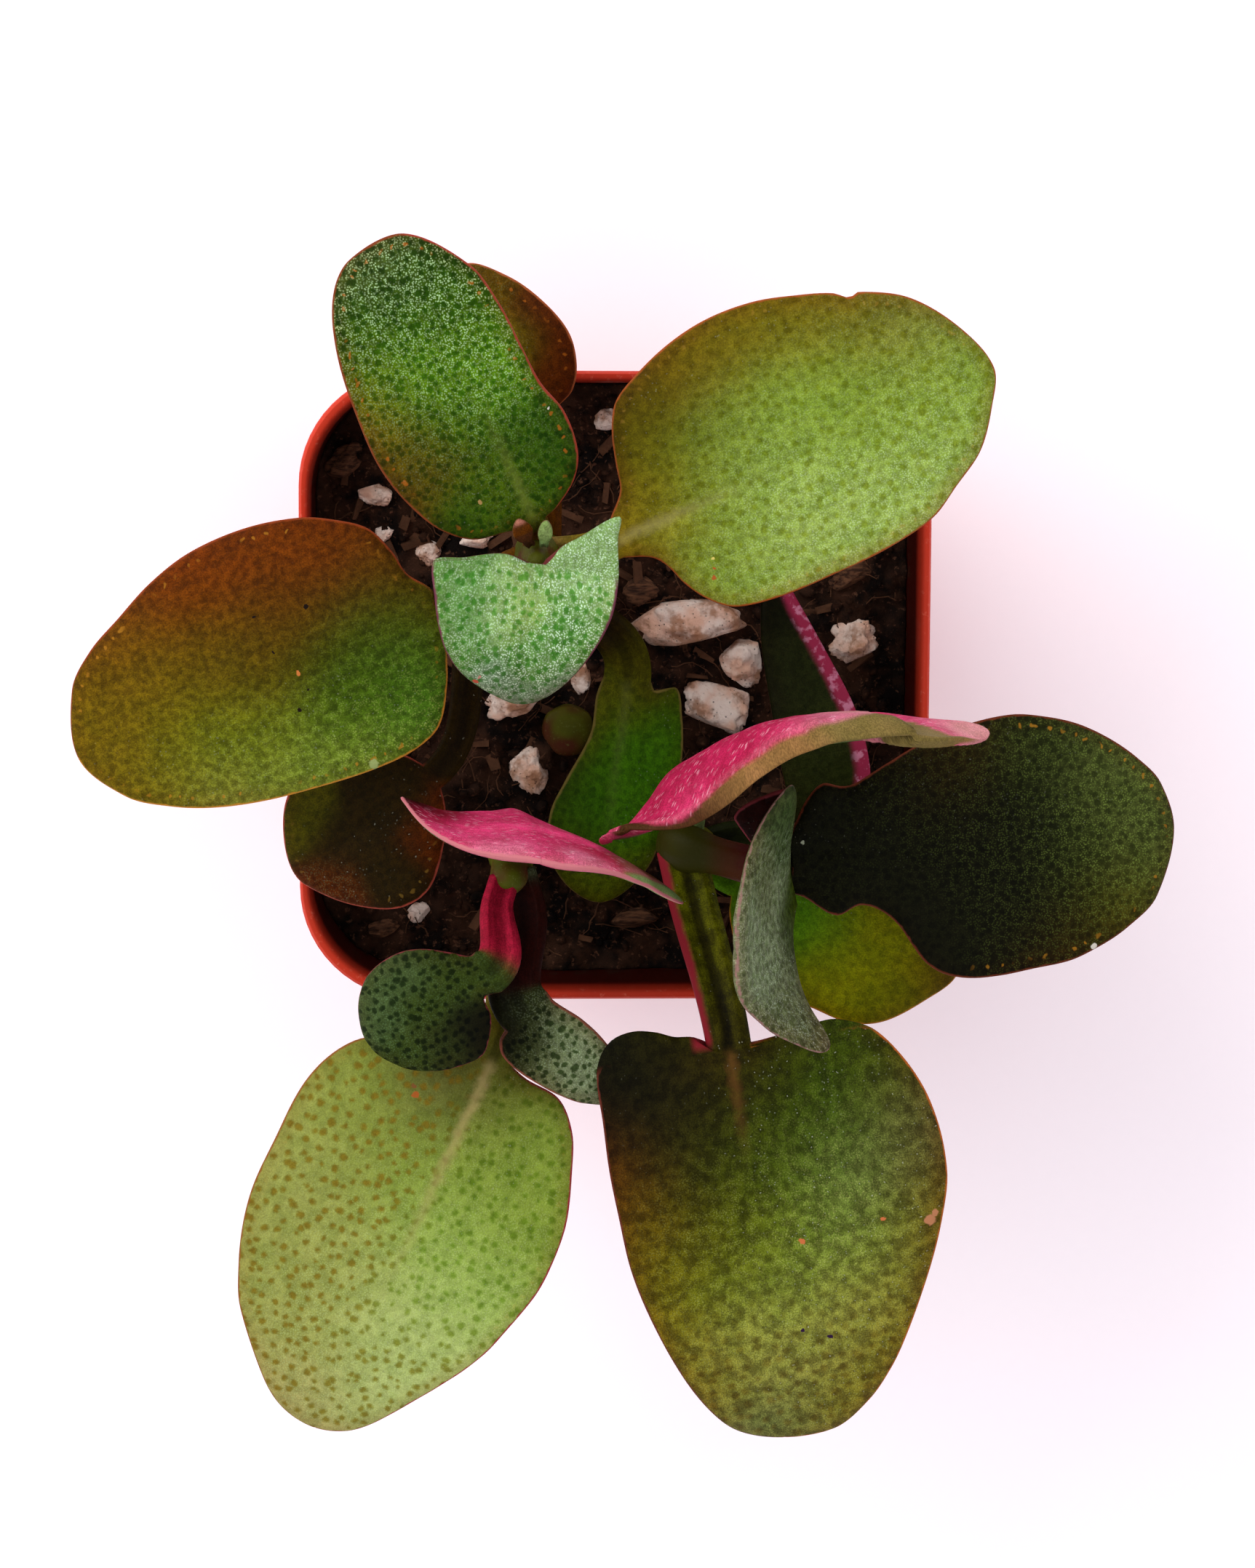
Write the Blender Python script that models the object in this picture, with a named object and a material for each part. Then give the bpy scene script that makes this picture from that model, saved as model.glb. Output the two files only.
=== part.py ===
"""A potted fairy crassula: three leafy shoots in peaty soil, in a small square nursery pot.

Metres, +Z up, with the origin at the centre of the pot's underside. +X is the pot's right side and
-Y its front. The tables of the plant are in millimetres, with heights above the pot's rim.
"""

import math

import bmesh
import bpy
import numpy as np
from mathutils import Matrix, Vector, noise

MM = 0.001
GAP = 0.3 * MM

# Pot: (side of the rounded square, height) up the outside, over the rim and down the inside
POT_HEIGHT = 50 * MM
RIM_SIDE = 55 * MM
RIM_CORNER = 10 * MM
CORNER_STEPS = 5
WALL = 0.9 * MM
FLOOR = 1.2 * MM
BASE_SIDE = 45 * MM
FOOT_INSET = 0.5 * MM
FOOT_HEIGHT = 0.6 * MM
BODY_SIDE = 52.4 * MM
BODY_TOP = 37.5 * MM
COLLAR_SIDE = 54.2 * MM
COLLAR_BOTTOM = 38.6 * MM
RIM_BAND = 1.05 * MM
RIM_ROUND = 0.35 * MM
DRAFT = 0.1 * MM
DRAIN_RADIUS = 2.2 * MM
DRAIN_OFFSET = 13 * MM
DRAIN_SIDES = 20

# Soil: its surface swells and crumbles, by noise with these sizes and numbers of waves in a metre
SOIL_DEPTH = 8.5 * MM
SOIL_CELLS = 22
SOIL_SWELL = 1.1 * MM
SWELLS_A_METRE = 90
SOIL_CRUMB = 0.7 * MM
CRUMBS_A_METRE = 310
HOLE_ROOM = 0.45
HOLE_BELOW = 1
HOLE_ABOVE = 4

# Stems: points along the axis (x, y, height over the rim) with the radius there, in mm
STEMS = {
    "stem_a": [(-5.5, 9.0, -17, 2.2), (-5.7, 9.6, -9, 2.2), (-6.0, 10.4, -2, 2.1), (-6.3, 11.2, 2, 2.5),
               (-6.6, 11.8, 6, 2.0), (-7.0, 12.3, 12, 1.9), (-7.2, 12.5, 15.6, 2.2),
               (-7.4, 12.6, 17.6, 1.7), (-7.5, 12.7, 19, 1.4), (-7.5, 12.6, 20.2, 0.9),
               (-7.5, 12.4, 21.1, 0.7)],
    "stem_b": [(-9.0, -16.2, -17, 2.0), (-9.0, -15.8, -9, 2.0), (-9.1, -14.8, 0, 1.9),
               (-9.2, -13.6, 6, 1.9), (-9.2, -12.9, 10, 2.2), (-9.4, -13.6, 13, 1.7),
               (-9.7, -14.6, 15.2, 1.5), (-9.8, -15.0, 16.4, 0.9)],
    "stem_c": [(7.6, -15.6, -17, 2.0), (7.4, -15.4, -9, 2.0), (7.0, -14.6, -2, 2.0),
               (6.7, -14.0, 2, 2.3), (5.9, -13.0, 6, 1.9), (5.4, -12.6, 9.5, 2.2),
               (8.0, -13.1, 11.4, 1.6), (10.6, -13.7, 12.6, 1.6), (12.2, -13.9, 13.8, 1.7),
               (12.6, -14.0, 15.2, 0.9)],
    "cut_stub": [(-3.9, -4.6, -15, 2.2), (-3.9, -4.5, -9, 2.2), (-3.9, -4.3, -5.2, 2.2),
                 (-3.9, -4.3, -4.9, 1.8)],
}
STEM_STEPS = 18
TUBE_RESOLUTION = 3
HOLE_SIDES = 20

# Pumice and bark on the soil: x, y, half sizes along, across and up, and the turn in degrees
PUMICE = [
    (6.6, 5.2, 4.4, 2.6, 2.0, 8), (11.6, 1.6, 2.0, 2.3, 1.7, 20), (9.6, -2.6, 3.0, 2.3, 1.8, -20),
    (21.6, 3.4, 2.1, 1.9, 1.7, 0), (-2.6, 0.2, 1.2, 1.5, 1.1, 0), (-8.6, -1.6, 2.6, 1.8, 1.5, 15),
    (-7.2, -8.0, 1.8, 2.2, 1.4, 10), (-16.2, 11.3, 1.1, 1.1, 0.9, 0), (-20.2, 12.8, 1.0, 0.9, 0.8, 30),
    (-20.8, 16.3, 1.8, 0.9, 0.9, -5), (-12.0, 12.6, 1.7, 1.0, 0.9, 20), (-17.2, -21.0, 1.2, 0.9, 0.8, 40),
    (-0.4, 23.0, 1.4, 1.0, 0.9, 0),
]
BARK = [(2.4, 7.9, 1.6, 1.2, 1.1, 0), (-23.4, 19.2, 2.3, 1.2, 0.9, 45), (21.4, 9.4, 2.3, 1.1, 1.0, 35),
        (-20.3, -22.4, 1.6, 0.9, 0.8, 20), (2.0, -21.5, 2.4, 1.0, 0.9, 10)]
GRAIN_LIFT = 0.25
GRAIN_ROUGHNESS = 0.22
GRAIN_BUMPS = 1.6

# Blades, in mm. base and tip are the midrib's ends. left and right are the outline's points beside the
# midrib, as (distance along it, distance from it), seen from above with the base near. low and high
# are the heights of the blade's cross-section over its plane, from the left edge to the right edge, at
# the base end and at the tip end. arch lifts the middle of the midrib and droop lowers its tip.
# joint is where the stalk leaves its stem, way its direction there, and stalk its widths at both ends.
# A sessile blade sits right on its stem's tip.
LEAVES = {
    "leaf_a_top_back": dict(
        base=(-7.7, 15.8, 21), tip=(-18.3, 38.9, 27),
        left=[(0.2, 2.4), (1.0, 5.4), (4.1, 7.9), (9.4, 9.5), (14.8, 9.5), (20, 8.8), (24, 7.2),
              (26, 4.8)],
        right=[(0.5, 2.4), (2.0, 4.4), (4.2, 5.6), (7.7, 5.9), (10.8, 5.1), (14.3, 4.9), (18, 4.7),
               (21.8, 3.8)],
        low=(0.8, 0.2, 0, 0.2, 0.8), high=(0.8, 0.2, 0, 0.2, 0.8), arch=1.0, droop=-1.0,
        joint=(-7.5, 12.7, 18.0), way=(0, 1, 0.5), reach=1.8, stalk=(2.2, 2.2), colour="bloom_green"),
    "leaf_a_top_front": dict(
        base=(-7.4, 12.4, 22.2), tip=(-8.8, 0.3, 18),
        left=[(-1.6, 1.6), (-2.8, 3.0), (-5.4, 6.0), (-3.4, 6.1), (0.3, 6.6), (3.3, 6.3), (7.5, 4.6),
              (10.9, 2.5)],
        right=[(-0.6, 2.9), (-0.2, 6.0), (0.0, 8.5), (2.8, 8.1), (5.2, 7.5), (7.6, 6.6), (9.8, 5.0),
               (11.6, 2.6)],
        low=(2.2, 0.4, 0, 0.4, 1.8), high=(0, 0.1, 0, 0.1, 0), arch=2.4, droop=-0.6,
        sessile=True, stalk=(1.8, 1.8), colour="glaucous"),
    "leaf_a_mid_left": dict(
        base=(-15.3, 7.4, 17), tip=(-45.7, -4.7, 14),
        left=[(0.5, 2.6), (1.4, 5.0), (3.3, 8.1), (5.8, 9.2), (9.4, 9.5), (13.5, 9.3), (18.6, 8.8),
              (22.9, 7.9), (26.7, 6.5), (30.2, 4.3)],
        right=[(-0.2, 2.6), (1.2, 4.6), (1.6, 6.6), (2.7, 9.2), (4.8, 10.8), (7.7, 12.2), (12.2, 13),
               (17.1, 12.8), (21.2, 11.6), (24.9, 9.8), (28.2, 8.1), (31, 5.6)],
        low=(0.6, 0.1, 0, 0.1, 0.6), high=(0.4, 0.1, 0, 0.1, 0.4), arch=1.5, droop=-1.0,
        joint=(-7.2, 12.5, 15.4), way=(-1, -0.45, 0.1), reach=2.1, stalk=(3.2, 2.8), colour="rust_green"),
    "leaf_a_mid_right": dict(
        base=(-0.9, 14.0, 18), tip=(30.1, 28.4, 20),
        left=[(0.5, 2.0), (2.1, 3.7), (2.7, 5.9), (3.5, 8.4), (4.7, 10.4), (6.7, 11.6), (10.5, 13),
              (14.3, 13.6), (18.4, 13.3), (22.1, 12.2), (26.8, 10.1), (30.2, 8.2), (33, 4.2)],
        right=[(2.1, 2.4), (3.0, 3.5), (3.8, 5.6), (5.1, 7.6), (6.9, 9.0), (10.8, 9.7), (15.7, 9.8),
               (20, 9.7), (24.6, 9.0), (27.4, 7.5), (30.4, 5.7), (32.7, 2.9)],
        low=(0.8, 0.2, 0, 0.2, 0.8), high=(0.8, 0.2, 0, 0.2, 0.8), arch=1.5, droop=-1.0,
        joint=(-7.2, 12.5, 15.9), way=(1, 0.1, 0.2), reach=2.1, stalk=(3.2, 3.0), colour="olive_green"),
    "leaf_a_low_back": dict(
        base=(-7.4, 23.0, 6.5), tip=(-13.2, 36.6, 8),
        left=[(0.8, 3.6), (3, 5.2), (6.4, 5.8), (10.4, 5.0), (13.2, 2.8)],
        right=[(0.7, 2.4), (1.6, 4.2), (3.6, 5.4), (6.4, 5.8), (9.6, 4.8), (12.6, 2.9)],
        low=(0.4, 0.1, 0, 0.1, 0.4), high=(0.4, 0.1, 0, 0.1, 0.4), arch=0.8, droop=-0.5,
        joint=(-6.4, 11.3, 2.6), way=(0, 1, 0.5), reach=2.9, stalk=(3.0, 2.6), colour="rust_brown"),
    "leaf_a_low_left": dict(
        base=(-16.0, -7.0, 6), tip=(-27.8, -15.9, 4.5),
        left=[(0.8, 3.0), (3, 5.6), (6, 7.6), (9, 7.4), (12, 5.2), (14, 2.4)],
        right=[(0.8, 3.0), (3, 5.6), (7, 7.4), (11, 6.0), (13.6, 3.2)],
        low=(0.5, 0.1, 0, 0.1, 0.5), high=(0.3, 0.1, 0, 0.1, 0.3), arch=0.8, droop=-0.5,
        joint=(-6.5, 11.0, 2.4), way=(-1, -0.35, 0.2), reach=2.4, stalk=(3.0, 2.6), colour="rust_brown"),
    "leaf_a_low_front": dict(
        base=(1.1, 0.6, -2), tip=(-1.4, -19.5, -4),
        left=[(0.7, 2.6), (0.2, 4.4), (2.7, 5.2), (5.4, 5.6), (8.2, 5.6), (12.4, 5.0), (16.2, 4.2),
              (19.2, 2.2)],
        right=[(1.7, 2.5), (5.1, 2.6), (9.6, 4.3), (12.5, 5.2), (16.1, 4.9), (19, 2.9)],
        low=(0.5, 0.1, 0, 0.1, 0.5), high=(0.4, 0.1, 0, 0.1, 0.4), arch=0.8, droop=-0.3,
        joint=(-6.2, 10.8, 1.4), way=(0.8, -1, 0.1), reach=2.3, stalk=(3.0, 4.2), colour="plain_green"),
    "leaf_b_mid_back": dict(
        base=(-9.0, -9.2, 13), tip=(-7.6, -11.6, 31), face=(-0.37, -1, 0.1),
        left=[(0.6, 2.6), (3, 6.2), (6, 9.6), (8.8, 11), (11.2, 10.6), (13.3, 9.6), (14.9, 8.4),
              (17.1, 5.2)],
        right=[(0.6, 2.6), (3.4, 6.6), (7.4, 11), (10.2, 13.4), (11.9, 13.6), (13.8, 11.4), (15.4, 9.3),
               (16.6, 7.2), (18, 3.6)],
        low=(1.4, 2.1, -0.3, 1.5, 2.3), high=(-1.0, 1.1, -0.5, -1.7, 0.1), arch=-1.2, droop=0,
        joint=(-9.2, -12.7, 10.4), way=(0.1, 1, 0.6), reach=2.1, stalk=(3.6, 3.0), colour="magenta_back"),
    "leaf_b_mid_front": dict(
        base=(-10.9, -30.3, 13), tip=(-26.2, -64, 8),
        left=[(0.4, 3.4), (0.8, 6.6), (2.9, 8.8), (5.7, 10.1), (10.1, 11.6), (14, 12), (17.1, 11.9),
              (20.7, 11.1), (24.2, 10.1), (29.4, 7.5), (35.8, 3.3)],
        right=[(0.6, 3.4), (1.6, 7.6), (2.7, 10.8), (5.3, 12.8), (8.6, 13.8), (13.7, 14), (18.1, 14),
               (21.7, 13.4), (25.5, 12.2), (29.2, 10.5), (34.7, 6), (36.8, 3.2)],
        low=(0.5, 0.1, 0, 0.1, 0.5), high=(0.3, 0, 0, 0, 0.3), arch=2.0, droop=-1.0,
        joint=(-9.2, -12.9, 10.6), way=(0, -1, 0.2), reach=2.2, stalk=(3.9, 2.2), colour="spotted_green"),
    "leaf_b_top_left": dict(
        base=(-11.4, -21.7, 20), tip=(-21.3, -28.5, 17),
        left=[(1.4, 1.6), (1.8, 3.2), (2.9, 4.6), (4.2, 5.5), (6.7, 5.2), (9.1, 4.3), (11.1, 2.8)],
        right=[(0.5, 2.0), (1.7, 3.3), (3.1, 4.6), (4.9, 5.5), (7.3, 5.6), (9.3, 4.9), (11.3, 3.0)],
        low=(0.4, 0.1, 0, 0.1, 0.4), high=(0.2, 0, 0, 0, 0.2), arch=1.0, droop=-0.5,
        joint=(-10.0, -14.7, 15.3), way=(-0.35, -1, 0.7), reach=1.35, stalk=(2.6, 4.0),
        colour="dark_spotted"),
    "leaf_b_top_right": dict(
        base=(-8.2, -25.5, 17), tip=(-0.1, -33.9, 14),
        left=[(1.0, 2.3), (3.8, 2.9), (6.7, 2.9), (9.5, 2.2)],
        right=[(0.2, 3.3), (1.2, 4.0), (3.2, 4.0), (5.3, 3.6), (7.3, 3.1), (9.6, 2.2)],
        low=(0.4, 0.1, 0, 0.1, 0.4), high=(0.2, 0, 0, 0, 0.2), arch=0.8, droop=-0.5,
        joint=(-9.2, -14.2, 13.8), way=(0.3, -1, 0.1), reach=2.0, stalk=(2.6, 4.8), colour="dark_spotted"),
    "leaf_c_mid_back": dict(
        base=(7.0, -7.2, 13), tip=(18.5, 0.6, 33), face=(0.27, -1, 0.1),
        left=[(0.6, 3.0), (1.2, 7.0), (2.0, 11), (3.8, 14), (6.2, 13.2), (8.6, 11.8), (11.8, 10.4),
              (14.8, 9.0), (17.7, 7.4), (20.5, 5.2), (22.6, 3.4)],
        right=[(1.0, 2.6), (5, 4.6), (10, 6.8), (15, 9.2), (19.5, 11.8), (22, 12.8), (23.7, 12),
               (25, 9.4), (25.7, 6.2), (25.4, 2.5)],
        low=(2.6, 0.3, -1.3, -1.6, -1.2, -2.0, -4.0, -4.0, -1.0),
        high=(2.6, 7.0, 2.2, -0.4, -0.7, 0.9, 2.6, 4.1, 4.2), arch=-1.5, droop=0,
        joint=(5.2, -12.5, 9.0), way=(0.1, 1, 0.4), reach=2.3, stalk=(3.6, 3.0), colour="magenta_back"),
    "leaf_c_mid_front": dict(
        base=(9.0, -28.9, 16), tip=(14.7, -64.8, 8),
        left=[(-0.4, 4), (-1.2, 8.6), (-0.8, 10.4), (0.3, 12.4), (2.9, 14.4), (5.8, 15.8), (8.6, 16.5),
              (11.5, 16.8), (14.3, 16.7), (17.5, 15.9), (20.7, 14.9), (25, 13.3), (28.4, 11.8),
              (31.9, 10), (35.1, 7.8), (37.6, 4.6)],
        right=[(-1.4, 2.8), (-1.8, 4.5), (-2.5, 6), (-2.9, 7.9), (-2.4, 9.8), (-0.7, 11.1), (1.4, 11.5),
               (4.3, 11.5), (8.7, 11.6), (13.1, 11.4), (17.7, 11.1), (22, 10.3), (26.5, 9), (30.4, 7.6),
               (33.9, 5.8), (36.4, 3.6)],
        low=(0.6, 0.1, 0, 0.1, 0.6), high=(0.3, 0, 0, 0, 0.3), arch=2.0, droop=-1.0,
        joint=(5.2, -12.8, 9.4), way=(0.22, -1, 0.3), reach=2.5, stalk=(4.2, 3.8), colour="mottled_olive"),
    "leaf_c_top_right": dict(
        base=(14.3, -12.4, 13.4), tip=(47.3, -11, 12),
        left=[(0.4, 2.3), (1.5, 4.4), (2.8, 5.6), (4.3, 5.3), (5.3, 5.4), (7.9, 6.9), (10.5, 8.4),
              (14.1, 9.9), (18.7, 10.8), (21.7, 10.5), (24.6, 9.7), (27.5, 8.2), (29.9, 6.4),
              (31.9, 4.2)],
        right=[(-0.3, 3.4), (1.0, 4.1), (3.6, 5.7), (5.6, 4.9), (7.3, 5.4), (8.8, 6.7), (9.8, 8.3),
               (10.9, 9.9), (12.5, 11), (14.8, 11.5), (17.7, 11.4), (20.3, 11), (23.5, 10.5),
               (26.2, 9.4), (28.8, 7.9), (31.3, 5.6)],
        low=(0.8, 0.2, 0, 0.2, 0.8), high=(0.6, 0.2, 0, 0.2, 0.6), arch=1.0, droop=-1.0,
        joint=(12.2, -13.6, 13.2), way=(1, 0.3, 0), reach=1.7, stalk=(2.8, 3.0), colour="dark_green"),
    "leaf_c_top_left": dict(
        base=(13.8, -16.4, 15.2), tip=(8.5, -18.3, 31), face=(1, 0.1, 0.2),
        left=[(0.8, 1.6), (2.4, 3), (4.4, 5.4), (6.4, 8), (8.0, 10.4), (9.9, 10.6), (12.0, 9.2),
              (14.6, 7.0), (17, 3.8)],
        right=[(0.4, 2.0), (2.0, 5.8), (4.4, 9.2), (6.8, 11.4), (8.6, 11.2), (11.8, 9.4), (14.9, 6.2),
               (17, 3.0)],
        low=(8, 1.8, 0.3, 1.2, 4.5), high=(2.5, 0.5, 0, 0.8, 1.5), arch=0, droop=0,
        joint=(12.2, -14.0, 12.6), way=(0.5, -0.8, 0.3), reach=1.6, stalk=(2.0, 2.0),
        colour="grey_green"),
    "leaf_c_low_right": dict(
        base=(10.5, -16.7, 2.9), tip=(29.6, -24.6, 5),
        left=[(0.6, 3), (3, 6), (8, 8), (13, 7.4), (17, 4.6), (19.6, 2.2)],
        right=[(0.6, 3), (3, 6), (7, 7.2), (10.6, 7.4), (13.9, 7.3), (16.6, 6.0), (19.2, 2.9)],
        low=(0.4, 0.1, 0, 0.1, 0.4), high=(0.3, 0, 0, 0, 0.3), arch=1.0, droop=-0.5,
        joint=(6.7, -14.0, 2.0), way=(1, -0.75, 0.15), reach=2.4, stalk=(3.0, 2.6), colour="yellow_green"),
    "leaf_c_low_back": dict(
        base=(18.2, -12.4, 0), tip=(13.8, 11.2, -2),
        left=[(1, 2.2), (5, 2.6), (12, 2.6), (17, 2.4), (21, 1.6)],
        right=[(1, 3.6), (3.6, 4.8), (6.1, 5), (8.7, 4.8), (11.2, 4.3), (16.3, 2.7), (20.2, 1.4)],
        low=(0.8, 0.2, 0, 0.2, 0.8), high=(0.6, 0.2, 0, 0.2, 0.6), arch=1.0, droop=-0.5,
        joint=(6.8, -13.9, 1.4), way=(1, 0.35, 0.1), reach=2.4, stalk=(2.8, 2.6), colour="plain_green"),
    "young_leaf_c": dict(
        base=(11.8, -11.8, 17.2), tip=(11.45, -6.9, 20.3),
        left=[(0.5, 1.0), (3.1, 2.3), (4.0, 2.6), (4.9, 1.9)],
        right=[(1, 0.7), (3, 1.3), (5.2, 2.2), (6.4, 2.4)],
        low=(0, 0, 0, 0, 0), high=(0.2, 0, 0, 0, 0.2), arch=0.2, droop=0, thick=0.8,
        joint=(12.5, -13.9, 15.2), way=(-0.2, 0.5, 1), reach=0.7, stalk=(1.2, 1.4), colour="dark_red_back"),
    "bud_leaf_left": dict(
        base=(-8.3, 14.3, 21.8), tip=(-9.1, 16.1, 23.2),
        left=[(0.4, 0.7), (1.2, 0.9), (2.0, 0.6)],
        right=[(0.4, 0.6), (1.2, 0.8), (2.0, 0.5)],
        low=(0.2, 0, 0, 0, 0.2), high=(0, 0, 0, 0, 0), arch=0.2, droop=0, thick=0.7,
        joint=(-8.0, 13.9, 20.8), way=(-0.2, 0.2, 1), reach=0, stalk=(0.8, 0.9), colour="bark"),
    "bud_leaf_right": dict(
        base=(-6.9, 14.3, 21.8), tip=(-6.8, 16.0, 23.4),
        left=[(0.4, 0.5), (1.2, 0.6), (2.0, 0.4)],
        right=[(0.4, 0.5), (1.2, 0.6), (2.0, 0.4)],
        low=(0.2, 0, 0, 0, 0.2), high=(0, 0, 0, 0, 0), arch=0.2, droop=0, thick=0.7,
        joint=(-6.9, 13.9, 20.8), way=(0, 0.2, 1), reach=0, stalk=(0.8, 0.8), colour="glaucous"),
}
BLADE_THICKNESS = 1.4
EDGE_THINNING = 0.45
TIP_FADE = 0.12
KEEL_SHARE = 0.35
KEEL_WIDTH = 2
STALK_DEPTH = 0.55
STALK_LEAST = 0.7
STALK_CHANNEL = 0.25
CHANNEL_SHARE = 0.6
STALK_STEPS = 6
STALK_STEP_LEAST = 1.1
STALK_BEND = 0.38
STALK_GAP = 0.35
OUTLINE_STEPS = 800
SLOPE_STEP = 0.2
BLADE_STATIONS = (0.03, 0.07, 0.115, 0.17, 0.24, 0.32, 0.41, 0.50, 0.59, 0.68, 0.77, 0.85, 0.91, 0.955,
                  0.985)
ACROSS = (1, 0.88, 0.45, 0, -0.45, -0.88, -1)

# Colour, roughness
LOOKS = {
    "pot_plastic": ((0.55, 0.10, 0.05), 0.4), "peat": ((0.035, 0.022, 0.016), 0.95),
    "pumice": ((0.62, 0.52, 0.46), 0.9), "bark": ((0.16, 0.08, 0.045), 0.9),
    "stem_green": ((0.25, 0.30, 0.06), 0.5), "bloom_green": ((0.16, 0.30, 0.13), 0.6),
    "glaucous": ((0.30, 0.48, 0.32), 0.65), "rust_green": ((0.30, 0.17, 0.03), 0.45),
    "olive_green": ((0.30, 0.36, 0.08), 0.45), "rust_brown": ((0.22, 0.10, 0.02), 0.5),
    "plain_green": ((0.10, 0.22, 0.03), 0.5), "magenta_back": ((0.55, 0.06, 0.16), 0.45),
    "spotted_green": ((0.32, 0.42, 0.15), 0.45), "dark_spotted": ((0.10, 0.19, 0.08), 0.5),
    "mottled_olive": ((0.14, 0.16, 0.05), 0.45), "dark_green": ((0.05, 0.09, 0.04), 0.45),
    "grey_green": ((0.25, 0.33, 0.22), 0.6), "dark_red_back": ((0.12, 0.02, 0.02), 0.5),
    "yellow_green": ((0.30, 0.36, 0.04), 0.5),
}


def clear_scene():
    """Removes whatever the scene holds."""
    for obj in list(bpy.data.objects):
        bpy.data.objects.remove(obj, do_unlink=True)


def new_collection(name):
    collection = bpy.data.collections.new(name)
    bpy.context.scene.collection.children.link(collection)
    return collection


def material(name):
    """The Principled material of this name, made once."""
    found = bpy.data.materials.get(name)
    if found:
        return found
    colour, roughness = LOOKS[name]
    made = bpy.data.materials.new(name)
    made.use_nodes = True
    shader = made.node_tree.nodes["Principled BSDF"]
    shader.inputs["Base Color"].default_value = (*colour, 1)
    shader.inputs["Roughness"].default_value = roughness
    shader.inputs["Metallic"].default_value = 0
    return made


def add_mesh(name, bm, look, collection):
    """An object from the bmesh, with its faces turned outwards and shaded smooth up to 50 degrees."""
    bmesh.ops.recalc_face_normals(bm, faces=bm.faces)
    mesh = bpy.data.meshes.new(name)
    bm.to_mesh(mesh)
    bm.free()
    mesh.shade_smooth()
    mesh.set_sharp_from_angle(angle=math.radians(50))
    mesh.materials.append(material(look))
    obj = bpy.data.objects.new(name, mesh)
    collection.objects.link(obj)
    return obj


def as_cutter(obj):
    """Keeps a Boolean's cutter out of renders."""
    obj.hide_render = True
    obj.display_type = "WIRE"


def lofted_square(rings):
    """A closed body from rounded squares, each (side, height), joined in their order and capped."""
    bm = bmesh.new()
    bmesh.ops.create_grid(bm, x_segments=1, y_segments=1, size=0.5)
    bmesh.ops.bevel(bm, geom=list(bm.verts), affect="VERTICES", offset=RIM_CORNER / RIM_SIDE,
                    segments=CORNER_STEPS, profile=0.5, material=-1)
    side, height = rings[0]
    place = Matrix.Translation((0, 0, height)) @ Matrix.Diagonal((side, side, 1, 1))
    bmesh.ops.transform(bm, verts=bm.verts, matrix=place)
    edge = list(bm.edges)
    for next_side, next_height in rings[1:]:
        made = bmesh.ops.extrude_edge_only(bm, edges=edge)["geom"]
        verts = [item for item in made if isinstance(item, bmesh.types.BMVert)]
        edge = [item for item in made if isinstance(item, bmesh.types.BMEdge)]
        grow = next_side / side
        move = Matrix.Translation((0, 0, next_height - height))
        bmesh.ops.transform(bm, verts=verts, matrix=move @ Matrix.Diagonal((grow, grow, 1, 1)))
        side, height = next_side, next_height
    bmesh.ops.contextual_create(bm, geom=edge)
    return bm


def inner_rings(shrink=0.0):
    """The inside of the pot from its floor to its rim, made smaller by shrink on each side."""
    sides = [(BASE_SIDE + 2 * DRAFT, FLOOR), (BODY_SIDE, BODY_TOP),
             (COLLAR_SIDE - 2 * DRAFT, COLLAR_BOTTOM),
             (RIM_SIDE - 2 * RIM_BAND + 2 * WALL, POT_HEIGHT - RIM_ROUND)]
    return [(side - 2 * WALL - 2 * shrink, height) for side, height in sides]


def add_pot(collection, cutters):
    """The pot as one shell from its underside over the rim to its floor, with four drain holes."""
    outside = [(BASE_SIDE - 2 * FOOT_INSET, 0), (BASE_SIDE, FOOT_HEIGHT), (BODY_SIDE, BODY_TOP),
               (COLLAR_SIDE, COLLAR_BOTTOM), (RIM_SIDE, POT_HEIGHT - RIM_ROUND),
               (RIM_SIDE - 2 * RIM_ROUND, POT_HEIGHT)]
    inside = inner_rings()[::-1]
    over = [(RIM_SIDE - 2 * RIM_BAND + 2 * RIM_ROUND, POT_HEIGHT)]
    pot = add_mesh("pot", lofted_square(outside + over + inside), "pot_plastic", collection)
    bm = bmesh.new()
    for x, y in ((1, 1), (1, -1), (-1, 1), (-1, -1)):
        place = Matrix.Translation((x * DRAIN_OFFSET, y * DRAIN_OFFSET, 0))
        bmesh.ops.create_cone(bm, cap_ends=True, segments=DRAIN_SIDES, radius1=DRAIN_RADIUS,
                              radius2=DRAIN_RADIUS, depth=4 * FLOOR, matrix=place)
    drains = add_mesh("drain_cutters", bm, "pot_plastic", cutters)
    as_cutter(drains)
    cut = pot.modifiers.new("drains", "BOOLEAN")
    cut.operation = "DIFFERENCE"
    cut.object = drains


def soil_height(x, y):
    """The soil's surface: a slow swell with crumbs on it, in metres."""
    slow = noise.noise(Vector((x * SWELLS_A_METRE, y * SWELLS_A_METRE, 0.3)))
    crumb = noise.noise(Vector((x * CRUMBS_A_METRE, y * CRUMBS_A_METRE, 4.1)))
    return POT_HEIGHT - SOIL_DEPTH + SOIL_SWELL * slow + SOIL_CRUMB * crumb


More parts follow.
